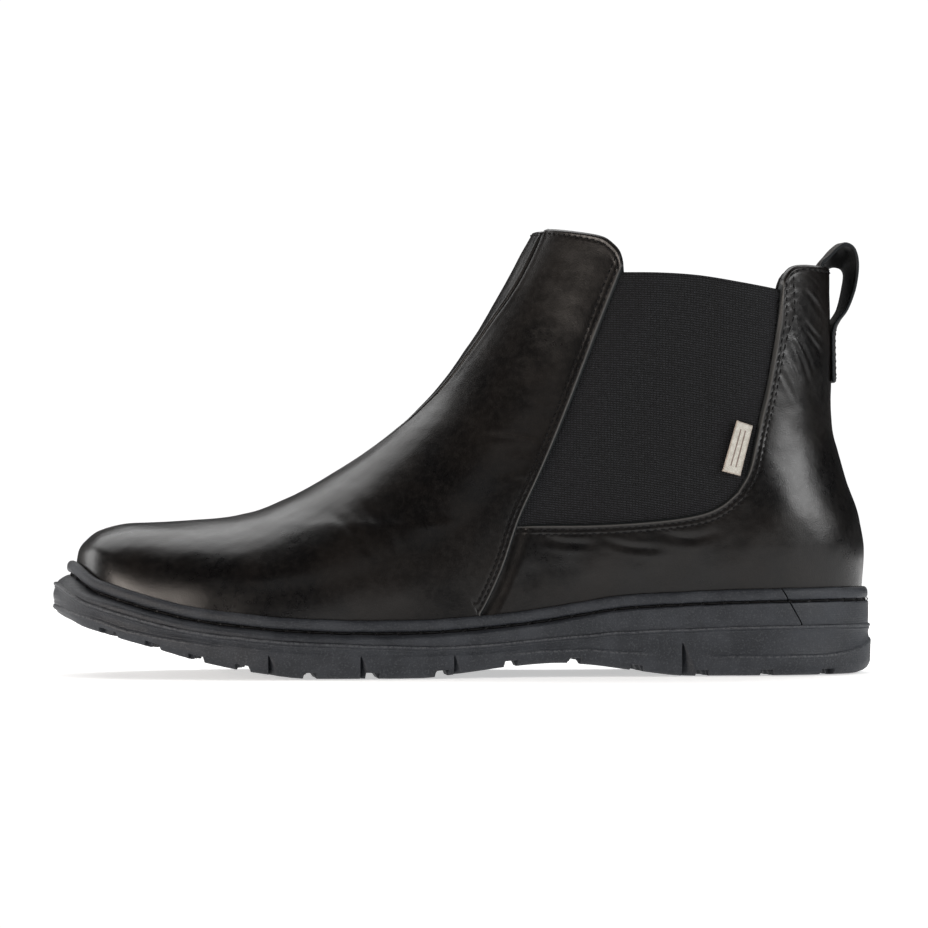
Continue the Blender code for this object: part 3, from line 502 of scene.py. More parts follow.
# Creases as (depth, half width, side-view line); the leather dips along the line
CREASES = {
    "lateral": [
        (0.28, 0.9, [(117.5, 143.5), (122, 141.5), (127, 137), (131.5, 131)]),
        (0.42, 0.8, [(116.5, 137), (121, 132), (126, 126.5), (131, 121.5)]),
        (0.36, 0.7, [(116.8, 134), (121.5, 128.5), (126.5, 122.5), (131, 117)]),
        (0.32, 0.8, [(116.5, 129.5), (120, 124), (124, 117.5), (127, 111)]),
        (0.26, 0.7, [(116.5, 126), (119.5, 120.5), (123, 113), (125.5, 106)]),
        (0.2, 0.7, [(115.5, 121), (118, 115), (121, 108)]),
        (0.2, 0.45, [(116.8, 139.5), (120.5, 136), (125, 131), (129, 126.5)]),
        (0.22, 0.4, [(117.5, 135.2), (122, 129.8), (127.5, 124.6)]),
        (0.2, 0.4, [(116.9, 131.6), (121, 126), (125.5, 120)]),
        (0.16, 0.4, [(117.2, 127.6), (121, 121.5), (124.5, 115)]),
        (0.16, 0.45, [(118.5, 145.6), (123, 143.6), (128.5, 139.2), (132.5, 134)]),
        (0.14, 0.45, [(121, 147.3), (126.5, 144.8), (131.5, 140)]),
        (0.2, 0.8, [(113, 112), (116, 106), (120, 98)]),
        (0.24, 1.2, [(24, 84), (18, 86), (11, 87), (3, 87)]),
        (0.2, 1.1, [(22, 78), (16, 79), (8, 79)]),
        (0.22, 1.3, [(20.5, 71), (14, 71), (6, 70)]),
        (0.15, 1.2, [(30, 96), (24, 99), (16, 100)]),
        (0.2, 1.3, [(22, 51), (32, 48.5), (44, 48)]),
        (0.18, 1.2, [(45, 50), (56, 47), (68, 46)]),
        (0.2, 1.5, [(66, 52), (78, 50), (90, 52)]),
        (0.25, 1.6, [(-52, 60), (-44, 52), (-38, 44)]),
        (0.2, 1.6, [(-42, 64), (-34, 55), (-29, 46)]),
        (0.18, 1.8, [(-20, 78), (-14, 66), (-10, 55)]),
    ],
    "medial": [
        (0.4, 0.9, [(116.5, 136), (121, 131), (126, 126), (131, 122)]),
        (0.34, 0.8, [(116.8, 132), (121.5, 126), (127, 119)]),
        (0.3, 0.9, [(116.5, 127), (120, 121), (124, 113)]),
        (0.22, 1.2, [(24, 82), (16, 85), (6, 86)]),
        (0.2, 1.3, [(21, 72), (13, 73), (5, 72)]),
        (0.22, 1.4, [(24, 51), (36, 48), (50, 48)]),
        (0.25, 1.7, [(-50, 60), (-43, 52), (-38, 44)]),
        (0.2, 1.7, [(-38, 64), (-31, 55), (-27, 46)]),
    ],
}


def creasing(points, side):
    """How far the leather stands out or dips at each point, from its creases."""
    flat = points[..., [0, 2]].reshape(-1, 2)
    total = np.zeros(len(flat))
    for depth, width, line in CREASES[side]:
        path = dense(line, 10)
        reach = 6 * width
        near = np.all((flat > path.min(0) - reach) & (flat < path.max(0) + reach), axis=1)
        if not near.any():
            continue
        away = np.linalg.norm(flat[near, None] - path[None], axis=2)
        index, d = away.argmin(axis=1), away.min(axis=1) / width
        fade = np.sin(math.pi * (index + 0.5) / len(path)) ** 0.7
        total[near] += depth * fade * (0.5 * bell(d - 2.0, 1.1) - bell(d, 1))
    return total.reshape(points.shape[:-1])


def relief(points, side):
    """The worn-in leather's gentle unevenness."""
    calm = ease(points[..., 2] - featherline(points[..., 0]), 2, 14)
    broad = 0.16 * waves(points, 46, 3) + 0.07 * waves(points, 17, 5)
    fine = 0.022 * waves(points, 6.5, 7)
    return (broad + fine) * calm + creasing(points, side)


def pucker(distance, travel, pitch=PITCH, rows=(ROW_A, ROW_B), depth=0.16):
    """Leather drawn down along stitch rows, deepest at the holes."""
    beat = 0.55 + 0.45 * np.cos(2 * math.pi * travel / pitch)
    dip = sum(bell(distance - row, 0.42) for row in rows)
    crown = bell(distance - (rows[0] + rows[-1]) / 2, 0.5) if len(rows) > 1 else 0
    return -depth * dip * beat + 0.06 * crown


def bevel(distance, reach=0.85, drop=1.25):
    """A skived, slightly rounded cut edge."""
    t = np.clip(1 - distance / reach, 0, 1)
    shoulder = 0.08 * bell(distance - reach - 0.2, 0.25)
    return shoulder - drop * t**1.25


# ---------------------------------------------------------------- meshes from grids


def place_object(name, data):
    thing = bpy.data.objects.new(name, data)
    bpy.context.scene.collection.objects.link(thing)
    return thing


def to_object(name, points, faces, finish, slot, body="root", attributes=None, sharp=50):
    """A piece from points in millimetres."""
    mesh = bpy.data.meshes.new(name)
    mesh.from_pydata(np.asarray(points) * MM, [], faces)
    for label, values in (attributes or {}).items():
        layer = mesh.attributes.new(label, "FLOAT", "POINT")
        layer.data.foreach_set("value", np.asarray(values, np.float32).ravel())
    made = bmesh.new()
    made.from_mesh(mesh)
    bmesh.ops.remove_doubles(made, verts=made.verts, dist=2e-6)
    bmesh.ops.dissolve_degenerate(made, edges=made.edges, dist=1e-7)
    bmesh.ops.recalc_face_normals(made, faces=made.faces)
    made.to_mesh(mesh)
    made.free()
    mesh.shade_smooth()
    mesh.set_sharp_from_angle(angle=math.radians(sharp))
    mesh.materials.append(finish)
    thing = place_object(name, mesh)
    if body:
        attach(thing, body)
    return thing


def grid_faces(columns, rows, first=0, wrap=False):
    """Quads of a grid stored column by column."""
    i = np.arange(columns if wrap else columns - 1)[:, None]
    j = np.arange(rows - 1)[None]
    a = first + i * rows + j
    b = first + (i + 1) % columns * rows + j
    return np.stack([a, a + 1, b + 1, b], axis=-1).reshape(-1, 4)


def tube_faces(count, size):
    """Quads round a tube of count rings of size points, and its two end caps."""
    start, ring = np.arange(count - 1)[:, None] * size, np.arange(size)
    a, b = start + ring, start + (ring + 1) % size
    quads = np.stack([a, b, b + size, a + size], axis=-1).reshape(-1, 4).tolist()
    return [*quads, ring.tolist(), ((count - 1) * size + ring[::-1]).tolist()]


def shell(name, outer, inner, finish, slot, attributes=None, **options):
    """The closed solid between two grids of the same size."""
    columns, rows = outer.shape[:2]
    size = columns * rows
    index = np.arange(size).reshape(columns, rows)
    border = np.concatenate([index[0], index[1:, -1], index[-1, -2::-1], index[-2:0:-1, 0]])
    following = np.roll(border, -1)
    rim = np.stack([border, following, following + size, border + size], axis=1)
    faces = np.vstack([grid_faces(columns, rows), grid_faces(columns, rows, size)[:, ::-1], rim])
    points = np.vstack([outer.reshape(-1, 3), inner.reshape(-1, 3)])
    twice = {k: np.concatenate([v[0].ravel(), v[1].ravel()]) for k, v in (attributes or {}).items()}
    return to_object(name, points, faces.tolist(), finish, slot, attributes=twice, **options)


class Stitches:
    """Thread stitches gathered into one mesh."""

    def __init__(self):
        self.points, self.faces, self.count = [], [], 0

    def add(self, starts, ends, normals, radius=0.3, rise=0.2, sink=0.25):
        """One bowed stitch from each start to each end."""
        rings, sides = 7, 6
        t = np.linspace(0, 1, rings)
        bow = np.sin(math.pi * t)
        width = radius * (0.45 + 0.55 * bow**0.5)
        width[0] = width[-1] = radius * 0.3
        reach = ends - starts
        way = unit(reach)
        across = unit(np.cross(way, normals))
        up = np.cross(across, way)
        around = np.linspace(0, 2 * math.pi, sides, endpoint=False)
        spine = starts[:, None] + t[None, :, None] * reach[:, None]
        spine = spine + (rise * bow - sink * (1 - bow))[None, :, None] * up[:, None]
        ring = (
            np.cos(around)[None, None, :, None] * across[:, None, None]
            + np.sin(around)[None, None, :, None] * up[:, None, None]
        )
        points = spine[:, :, None] + ring * width[None, :, None, None]
        template = tube_faces(rings, sides)
        for stitch in points:
            self.faces += [[self.count + corner for corner in face] for face in template]
            self.points.append(stitch.reshape(-1, 3))
            self.count += rings * sides

    def along(self, line, normals, pitch=PITCH, travel=None, share=0.74, first=0, last=0, **options):
        """Stitches a pitch apart along a line of points, measured by travel, with its normals."""
        run = run_length(line) if travel is None else travel
        low, high = (run[0] + first) / pitch, (run[-1] - last) / pitch
        places = np.arange(math.ceil(low), math.floor(high)) * pitch
        gap = pitch * (1 - share) / 2
        starts, ends = [at_distance(places + off, run, line) for off in (gap, pitch - gap)]
        self.add(starts, ends, at_distance(places + pitch / 2, run, normals), **options)

    def finish(self, name, finish):
        return to_object(name, np.vstack(self.points), self.faces, finish, "seam_thread")


# ---------------------------------------------------------------- leather panels

front_seam_place = smooth((-60, 0), (-30, 2.5), (-10, 6), (6, 9), (16, 11.5), (25.6, 10.5))
FAR = 99.0  # for points that no cut edge or seam is near


def edge_row(distance):
    """The index in EDGE of the column that far from a cut edge."""
    return int(np.argmin(np.abs(EDGE - distance)))


def leather_marks(rim, dark):
    """How far each point belongs to a cut edge, to the painted highlight on its crest and to the painted
    shade of a seam.
    """
    rim = np.minimum(rim, 9)
    # the crest mask paints a highlight along the shoulder just in from each cut edge
    worn, crest_highlight = bell(rim, 0.9, 4), bell(rim - 0.95, 0.22)
    return {"cut": (worn, worn), "crest_highlight": (crest_highlight, crest_highlight * 0), "dark": (dark, dark * 0)}


def leather_depth(top, full=1.0):
    """The leather's thickness, with the collar's padding behind it below the top edge."""
    thick = LEATHER_THICKNESS + 2.5 * (1 - ease(top, 1.0, 3.5)) * full
    return thick * (1 - 0.25 * np.exp(-top))


def mirrored(columns):
    """Points and normals across the ridge: the lateral side's columns, then the medial side's."""
    ridge = np.zeros(columns.shape[:2], bool)
    ridge[:, 0] = ridge[0] = True
    halves = [np.concatenate(skin(columns, side, ridge), axis=-1) for side in SIDES]
    return np.concatenate([halves[0][:, ::-1], halves[1][:, 1:]], axis=1)


def build_vamp(finish, stitches):
    fractions = shares(TOTAL_VAMP, 300)
    columns, standing = vamp_columns(fractions, 70, FOOT)
    lines = mirrored(columns)
    runs = run_length(lines[..., :3])
    middle_run = runs[:, columns.shape[1] - 1]
    seam = middle_run - front_seam_place(np.maximum(columns[:, 0, 0], -60))
    seam = np.maximum(seam, 0.5 * middle_run)
    stretch = [np.where(standing, 1.0, slant(lines[..., :3], end)) for end in (0, -1)]
    lateral = spaced(seam, EDGE, SEAM, 74, (stretch[0], 1.0))
    medial = seam[:, None] + spaced(runs[:, -1] - seam, SEAM, EDGE, 78, (1.0, stretch[1]))[:, 1:]
    places = np.concatenate([lateral, medial], axis=1)
    grid = sample(lines, runs, places)
    points, normals = grid[..., :3], unit(grid[..., 3:])

    top = np.linalg.norm(points - points[-1:], axis=-1)
    on_lateral = places < middle_run[:, None]
    offset = np.where(on_lateral, relief(points, "lateral"), relief(points, "medial"))
    rim = np.full_like(offset, FAR)
    travels = []
    for row, ways in ((0, places), (-1, runs[:, -1:] - places)):
        away = np.where(standing[:, None], FAR, ways / stretch[row][:, None])
        travel = run_length(points[:, row])
        travels.append(travel - travel[standing][-1])
        offset = offset + pucker(away, travels[-1][:, None]) + np.where(away < 40, bevel(away), 0)
        rim = np.minimum(rim, away)
    around = run_length(points[-1])
    offset = offset + pucker(top, around[None], rows=(ROW_A,)) + bevel(top, 0.9, 0.8)
    gap = np.abs(places - seam[:, None])
    strength = ease(columns[:, 0, 0], -60, -44)[:, None]
    groove = 0.95 * bell(gap, 0.42, 1.5) - 0.25 * bell(gap - 1.7, 1.2)
    outer = points + normals * (offset - strength * groove)[..., None]
    inner = points - normals * leather_depth(top)[..., None]
    # at the collar the lateral edge of the front seam stands a little above the medial one
    notch = 0.7 * bell(gap, 0.9) * bell(top, 1.6)
    notch = notch - 0.9 * strength * ease(seam[:, None] - places, -0.4, 0.4) * bell(top, 5)
    outer[..., 2] -= notch
    inner[..., 2] -= notch
    # the second mask paints shade into the bottom of the front seam's groove
    marks = leather_marks(rim, strength * bell(gap, 0.5))
    vamp = shell("vamp_leather", outer, inner, finish, "black_leather", marks)
    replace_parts(vamp, "vamp")

    up = outward(outer, normals)
    sewn = ~standing
    for end in (0, -1):
        for row in (ROW_A, ROW_B):
            k = edge_row(row) if end == 0 else -1 - edge_row(row)
            stitches.along(outer[sewn, k], up[sewn, k], travel=travels[end][sewn], first=3, last=2)
    k = -1 - edge_row(ROW_A)
    stitches.along(outer[k, 6:-6], up[k, 6:-6], travel=around[6:-6], first=2, last=2)


def outward(grid, normals):
    """Unit normals of a displaced grid, facing the same way as the smooth ones."""
    up = np.cross(np.gradient(grid, axis=0), np.gradient(grid, axis=1))
    up = up * np.sign((up * normals).sum(-1, keepdims=True))
    return up / np.maximum(np.linalg.norm(up, axis=-1, keepdims=True), 1e-9)


LAP_DEPTH = 1.7


def lap_depth(x, z):
    """How far a quarter dives to pass under the vamp's edge."""
    return LAP_DEPTH * (1 - ease(x - vamp_seam_x(z), 0.8, LAP_RAMP - 0.2))


def collar_dip(columns, side):
    """Lets the medial quarter's collar dip just behind the gusset."""
    if side == "medial":
        x, z = columns[..., 0], columns[..., 1]
        dip = 8.0 * ease(x, 113.5, 118) * (1 - ease(x, 120, 131)) * ease(z, 134, 149)
        columns[..., 1] = z - dip
    return columns


def keep_clear(layers, clear):
    """Holds a side panel's faces at least that far from the boot's middle plane."""
    for layer in layers:
        y = layer[..., 1]
        layer[..., 1] = np.where(y * np.sign(clear) < abs(clear), clear, y)


def build_quarter(side, finish, stitches):
    hidden = np.linspace(0, LAP_SHARE, 16, endpoint=False)
    seen = shares(TOTAL_QUARTER, 280)
    fractions = np.concatenate([hidden, LAP_SHARE + (1 - LAP_SHARE) * seen])
    columns, backing = quarter_columns(fractions, 44, FOOT)
    columns = collar_dip(columns, side)
    back = np.zeros(columns.shape[:2], bool)
    back[backing, 0] = True
    points, normals = skin(columns, side, back)
    depth = lap_depth(columns[..., 0], columns[..., 1])
    lines = np.concatenate([points, normals, depth[..., None]], axis=-1)
    runs = run_length(points)
    start = np.array([0, 0.2, 0.45, 0.8, 1.3])
    stretch = slant(points, -1)
    places = spaced(runs[:, -1], start, EDGE, 62, (1.0, stretch))
    grid = sample(lines, runs, places)
    points, normals, depth = grid[..., :3], unit(grid[..., 3:6]), grid[..., 6]
    rim = (runs[:, -1:] - places) / stretch[:, None]
    seam = np.where(backing[:, None], places, FAR)
    top = np.linalg.norm(points - points[-1:], axis=-1)
    travel, around = run_length(points[:, -1]), run_length(points[-1])
    offset = relief(points, side) + pucker(rim, travel[:, None]) + bevel(rim)
    offset = offset + pucker(top, around[None], 3.4, (ROW_A,)) + bevel(top, 0.9, 0.8)
    offset = offset - 0.45 * bell(seam, 0.5) + 0.1 * bell(seam - 1.6, 0.8)
    outer = points + normals * (offset - depth)[..., None]
    beside_strap = ease(np.abs(points[..., 1]), 9, 12) + ease(-points[..., 0], -128, -124)
    inner = points - normals * (depth + leather_depth(top, np.minimum(beside_strap, 1)))[..., None]
    keep_clear((outer, inner), SIDES[side] * 0.04)
    # the second mask paints shade into the bottom of the back seam's groove
    marks = leather_marks(rim, bell(seam, 0.5))
    panel = shell(f"quarter_leather_{side}", outer, inner, finish, "black_leather", marks)
    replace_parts(panel, f"quarter_{side}")

    up = outward(outer, normals)
    shown = depth[:, -1] < 0.4
    for row in (ROW_A, ROW_B):
        k = -1 - edge_row(row)
        stitches.along(outer[shown, k], up[shown, k], travel=travel[shown], first=1, last=2)
    k = -1 - edge_row(ROW_A)
    stitches.along(outer[k, 2:-6], up[k, 2:-6], 3.4, travel=around[2:-6], first=1, last=2, radius=0.34)


# ---------------------------------------------------------------- elastic, linings


def build_gusset(side, finish):
    front = vamp_seam(ELASTIC_BOTTOM[0][1], SEAM_TOP + 0.2, shift=-ELASTIC_HEM, count=8)
    front[0] = ELASTIC_BOTTOM[0]
    front[-1] = GUSSET_TOP[0]
    grid = coons(ELASTIC_BOTTOM, ELASTIC_REAR, GUSSET_TOP, front, 110, 120)
    points, normals = skin(grid, side)
    x, z = grid[..., 0], grid[..., 1]
    rise = run_length(points)
    from_top = rise[:, -1:] - rise
    swell = 0.9 * ease(z, 52, 62) * np.clip(1 - ((x - 72) / 42) ** 2, 0, 1) ** 0.8
    band = 0.25 * bell(from_top - 1.8, 1.5, 4)
    dent = 0.14 * bell(from_top - 4.2, 0.5)
    tip = bell(from_top, 0.35, 1)
    depth = 2.15 - swell - band + dent + 0.4 * tip - 0.06 * waves(points, 24, 11)
    lapped = (z < SEAM_TURN - 0.5) & (lap_depth(x, z) > 0)
    depth = np.where(lapped, 2.3 + 0.55 * lap_depth(x, z), depth)
    outer = points - normals * depth[..., None]
    inner = points - normals * (depth + 1.0 - 0.6 * tip)[..., None]
    attributes = {"weave_u": (x, x), "weave_v": (from_top, from_top)}
    gusset = shell(f"elastic_gusset_{side}", outer, inner, finish, "elastic_web", attributes)
    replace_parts(gusset, f"gusset_{side}")


def build_lining(points, normals, seed, finish, node, clear=None):
    """A lining hung at its depth under the leather; clear keeps it off the boot's middle."""
    uneven = 0.12 * waves(points, 30, seed)
    outer = points - normals * (LINING[0] + uneven * 0.3)[..., None]
    inner = points - normals * (LINING[1] + uneven)[..., None]
    if clear:
        keep_clear((outer, inner), clear)
    lining = shell(node.replace("lining", "lining_textile"), outer, inner, finish, "lining")
    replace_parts(lining, node)


def build_linings(finish):
    fractions = np.concatenate([np.linspace(0, 0.975, 80), [0.985, 0.992, 0.997, 1.0]])
    lines = mirrored(vamp_columns(fractions, 30, 1.2)[0])
    build_lining(lines[..., :3], lines[..., 3:], 21, finish, "vamp_lining")
    for side, sign in SIDES.items():
        columns, backing = quarter_columns(LAP_SHARE + (1 - LAP_SHARE) * fractions, 20, 1.2)
        columns = collar_dip(columns, side)
        columns[..., 1] -= LINING_FOLD * ease(columns[..., 1], 138, 150)
        back = np.zeros(columns.shape[:2], bool)
        back[backing, 0] = True
        build_lining(*skin(columns, side, back), 22, finish, f"quarter_lining_{side}", clear=sign * 0.1)


# ---------------------------------------------------------------- pull strap and label

STRAP_LINE = [
    (133.5, 128.5), (133.5, 140), (133.5, 147.5), (133.4, 151.9), (134.9, 154), (137.3, 156.8),
    (140.2, 158.9), (143, 157.8), (144.4, 154.5), (144.7, 150), (144.1, 144), (143.2, 140), (141.9, 136),
    (139.9, 131.4), (138.4, 128.2), (137.8, 124.5), (137.9, 116), (138.05, 107.4),
]  # fmt: skip
STRAP_KNEES = STRAP_LINE[3], STRAP_LINE[13]  # where the loop leaves its two tails
STRAP_BOX, STRAP_BOX_HALF = (109.2, 127.0), 6.6  # the stitched box: its two levels, half its width
STRAP_HALF = 8.5
STRAP_LEAN = 1.1
STRAP_DROOP = 0.5  # how far the loop's medial edge has sunk, as a share of its height
DROOP_LEVEL = 143.0
STRAP_SAG = 1.45


def build_strap(finish, stitches):
    line = dense(STRAP_LINE, 30)
    run = run_length(line)
    count = 170
    spots = along(line, np.linspace(0, 1, count))
    heading = unit(np.gradient(spots, axis=0))
    over = np.column_stack([-heading[:, 1], heading[:, 0]])
    travel = np.linspace(0, run[-1], count)
    knee = [run[np.argmin(np.linalg.norm(line - np.array(p), axis=1))] for p in STRAP_KNEES]
    free = ease(travel, knee[0] - 3, knee[0] + 4) * (1 - ease(travel, knee[1] - 4, knee[1] + 3))
    lean = STRAP_LEAN * np.sin(math.pi * np.clip((travel - knee[0]) / (knee[1] - knee[0]), 0, 1))
    # cross-section: (share of half width, share of half thickness)
    angle = np.linspace(0, 2 * math.pi, 44, endpoint=False)
    wide = np.sign(np.cos(angle)) * np.abs(np.cos(angle)) ** 0.35
    tall = np.sign(np.sin(angle)) * np.abs(np.sin(angle)) ** 0.5
    ends = np.minimum(1, np.minimum(travel, run[-1] - travel) / 0.8)
    half_thick = 0.75 * np.sqrt(np.clip(1 - (1 - ends) ** 2, 0.02, 1))
    welt = 1 + 0.16 * bell(np.abs(wide) - 0.88, 0.07)
    ripple = 0.12 * np.sin(travel / 3.1) * free
    sections = []
    for i in range(count):
        y = wide * STRAP_HALF
        shift = -lean[i] * wide - STRAP_SAG * wide**2 * (1 - free[i])
        rise = tall * half_thick[i] * welt + ripple[i] * (1 - wide**2)
        x = spots[i, 0] + over[i, 0] * rise + shift
        sunk = STRAP_DROOP * np.clip((wide - 0.1) / 0.9, 0, 1) ** 1.5 * free[i]
        z = spots[i, 1] + over[i, 1] * rise - sunk * max(spots[i, 1] - DROOP_LEVEL, 0)
        sections.append(np.column_stack([x, y, z]))
    grid = np.stack(sections)
    strap = to_object(
        "pull_strap", grid.reshape(-1, 3), tube_faces(*grid.shape[:2]), finish, "strap", body=None,
        attributes={"face": np.tile(tall, count), "edge": np.tile(ease(np.abs(wide), 0.8, 0.9), count)},
    )  # fmt: skip
    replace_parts(strap, "pull_loop", "pull_loop_outer_tail", "pull_loop_inner_tail")
    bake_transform(strap)
    tail_x, tail_z = spots[::-1][: count // 3].T
    half, back = STRAP_BOX_HALF, [[1.0, 0, 0]]
    upright, across = np.linspace(*STRAP_BOX, 40), np.linspace(-half, half, 30)
    for y, z in [(-half, upright), (half, upright), *[(across, z) for z in STRAP_BOX]]:
        x = np.interp(z, tail_z, tail_x) + 0.72 - STRAP_SAG * (y / STRAP_HALF) ** 2
        path = np.column_stack(np.broadcast_arrays(x, y, z))
        stitches.along(path, np.repeat(back, len(path), axis=0), radius=0.28, rise=0.02)


LABEL_WIDTH, LABEL_LENGTH = 6.8, 19.5
LABEL_FRONT = ((90.6, 74.6), (96.1, 93.2))
LABEL_REAR = ((97.3, 72.8), (102.2, 91.2))


def build_label(finish):
    front, rear = np.array(LABEL_FRONT), np.array(LABEL_REAR)
    columns, rows = 26, 60
    s, t = np.linspace(0, 1, columns)[:, None, None], np.linspace(0, 1, rows)[None, :, None]
    low, high = front[0] + s * (rear[0] - front[0]), front[1] + s * (rear[1] - front[1])
    xz = low + t * (high - low)
    points, normals = skin(xz, "lateral")
    s, t = s[..., 0], t[..., 0]
    edge = np.minimum(np.minimum(s, 1 - s) * LABEL_WIDTH, np.minimum(t, 1 - t) * LABEL_LENGTH)
    round_off = np.clip(1 - edge / 0.45, 0, 1) ** 2
    turns = 2 * math.pi * t * LABEL_LENGTH / 0.9, 2 * math.pi * s * LABEL_WIDTH / 0.75
    thread = 0.05 * np.cos(turns[0]) * np.cos(turns[1])
    bow = 0.35 * (1 - s) ** 2
    outer = points + normals * (0.35 + bow + thread - 0.35 * round_off)[..., None]
    inner = points - normals * (0.55 - bow - 0.3 * round_off)[..., None]
    attributes = {"label_s": (s + 0 * t,) * 2, "label_t": (t + 0 * s,) * 2}
    attributes["edge"] = np.clip(1 - edge / 0.7, 0, 1), np.ones_like(edge)
    label = shell("label_canvas_tag", outer, inner, finish, "label_canvas", attributes, body="label")
    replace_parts(label, "label_tag")


# ---------------------------------------------------------------- the bottom

bead_width = smooth((-150, 3.7), (-138, 3.1), (-110, 2.9), (0, 2.6), (150, 2.2))
band_inset = smooth((-150, 1.3), (-100, 1.2), (-20, 1.1), (40, 1.0), (150, 1.0))
second_ridge = smooth(
    (-152, 30), (-144.2, 25.8), (-131.9, 20.8), (-122.9, 17.2), (-110.6, 14.6), (-97.2, 12.3), (-85, 10.4),
    (-60, 7.8), (-30, 6.8), (0, 7.4), (13.4, 8.7), (25.2, 9.6), (39.7, 9.9), (48.6, 9.3), (63.8, 8.2),
    (75, 7.4), (88.6, 7.0), (126.5, 7.2), (141.3, 9.1), (149.7, 13.3), (153, 15),
)  # fmt: skip
SLOTS = [(-75.6, -72.4, 9.2), (-43.2, -40.2, 9.0), (-9.4, -6.6, 8.8), (75.6, 80.2, 12.6)]


def second_strength(x):
    toe = 1 - ease(x, -104, -84)
    wave = ease(x, 6, 20) * (1 - ease(x, 56, 68))
    heel = ease(x, 82, 94)
    return np.maximum(toe, np.maximum(wave, heel))


def toe_lift(x):
    """The welt climbs a little more at the very tip of the toe."""
    return TOE_CLIMB * (1 - ease(x, TOE_TIP, TOE_TIP + TOE_CLIMB_LENGTH))


def build_welt(finish, thread):
    ring = Ring(stations(360))
    x = ring.x
    width, bead, lift = welt_width(x), bead_width(x), toe_lift(x)
    band = width - band_inset(x)
    base, bottom = featherline(x) + lift, welt_bottom(x)
    flange = 0.8 * bead
    profile = [
        (-0.2 * lift, -1.6), (0.02 * bead - 0.2 * lift, -0.6),
        (0.12 * bead, 0.0), (0.28 * bead, 0.18), (0.46 * bead, 0.2),
        (0.64 * bead, 0.05), (0.8 * bead, -0.3), (0.92 * bead, -0.9), (0.99 * bead, -1.6), (bead, -2.3),
        (0.98 * bead, -3.0), (0.9 * bead, -3.55), (0.78 * bead, -3.9), (0.6 * bead, -4.05),
        (0.42 * bead, -4.15), (0.38 * bead, -4.5), (0.42 * bead, -4.85), (0.6 * bead, -4.95),
    ]  # fmt: skip
    rows = [(o + 0 * x, base + h) for o, h in profile]
    slope = np.maximum(band - flange, 0.3)
    start = -5.0
    steep = np.clip(slope * 0.42, 0.35, 1.3) + 0.7 * lift
    for share, drop in ((0, 0), (0.15, 0.06), (0.5, 0.34), (0.8, 0.66), (0.93, 0.92), (1.0, 1.35)):
        fall = start - drop * steep
        rows.append((flange + share * slope, base + fall))
    top = base + start - 1.35 * steep
    end = base + bottom
    for share in (0.12, 0.3, 0.5, 0.7, 0.86, 0.95, 1.0):
        belly = 0.1 * math.sin(math.pi * share)
        rows.append((flange + slope + belly, top + (end - top) * share))
    rows.append((flange + slope - 0.8, end))
    rows.append((0.4 + 0 * x, end))
    grid = ring.rows(*zip(*rows))
    grain = 0.035 * waves(grid, 3.2, 31) + 0.05 * waves(grid, 14, 32)
    grid[..., 2] += grain
    # the strip's two ends meet on a slant near the heel
    closed = np.concatenate([grid, grid[:1]], axis=0)
    travel = run_length(closed[:, 9])
    joint = np.interp(STRIP_JOINT_X, x[: ring.count], travel[: ring.count])
    places = np.linspace(0.28, travel[-1] - 0.28, len(x) + 60)
    from_joint = np.minimum(places, travel[-1] - places)
    made = []
    for line in closed.transpose(1, 0, 2):
        share = np.clip((STRIP_TOP - np.interp(joint, travel, line[:, 2])) / STRIP_HEIGHT, 0, 1)
        shift = STRIP_JOINT_SLANT * share * (1 - ease(from_joint, 0, 60))
        made.append(at_distance((joint + places + shift) % travel[-1], travel, line))
    made = np.stack(made, axis=1)
    # rows down in the stitch groove, coloured darker there as painted shade
    groove = np.zeros(made.shape[:2])
    groove[:, 13:18] = 1
    strip = to_object(
        "welt_rubber", made.reshape(-1, 3), tube_faces(*groove.shape), finish, "sole_rubber",
        attributes={"worn": groove * 0, "groove": groove},
    )  # fmt: skip
    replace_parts(strip, "welt_strip")

    # long stitches that lie in the groove, with a short tick where each goes down
    stitches = Stitches()
    path, ups = ring.at(0.58 * bead, base - 4.5), np.column_stack([ring.out, 0 * x])
    path, ups = np.vstack([path, path[:1]]), np.vstack([ups, ups[:1]])
    stitches.along(path, ups, pitch=WELT_PITCH, share=0.9, radius=0.4, rise=0.1, sink=0.5)
    run = run_length(path)
    places = np.arange(1, math.floor(run[-1] / WELT_PITCH)) * WELT_PITCH
    spots, ups = at_distance(places, run, path), at_distance(places, run, ups)
    spots, tick = spots + ups * 0.75, np.array([0, 0, 0.75])
    stitches.add(spots - tick, spots + tick, ups, radius=0.26, rise=0.12, sink=0.3)
    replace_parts(stitches.finish("welt_stitching", thread), "welt_thread")


def outsole_stations():
    base = TOE_TIP + (HEEL_TIP - TOE_TIP) * (1 - np.cos(np.linspace(0, math.pi, 330))) / 2
    extra = []
    for centre in GROOVES:
        for d in (GROOVE_HALF + 0.35, GROOVE_HALF):
            extra += [centre - d, centre + d]
    for left, right, _ in SLOTS:
        extra += list(np.linspace(left - 0.3, right + 0.3, 14))
    kept = [v for v in base if min(abs(v - e) for e in extra) > 0.25]
    return np.array(sorted(set(np.round([*kept, *extra], 4))))


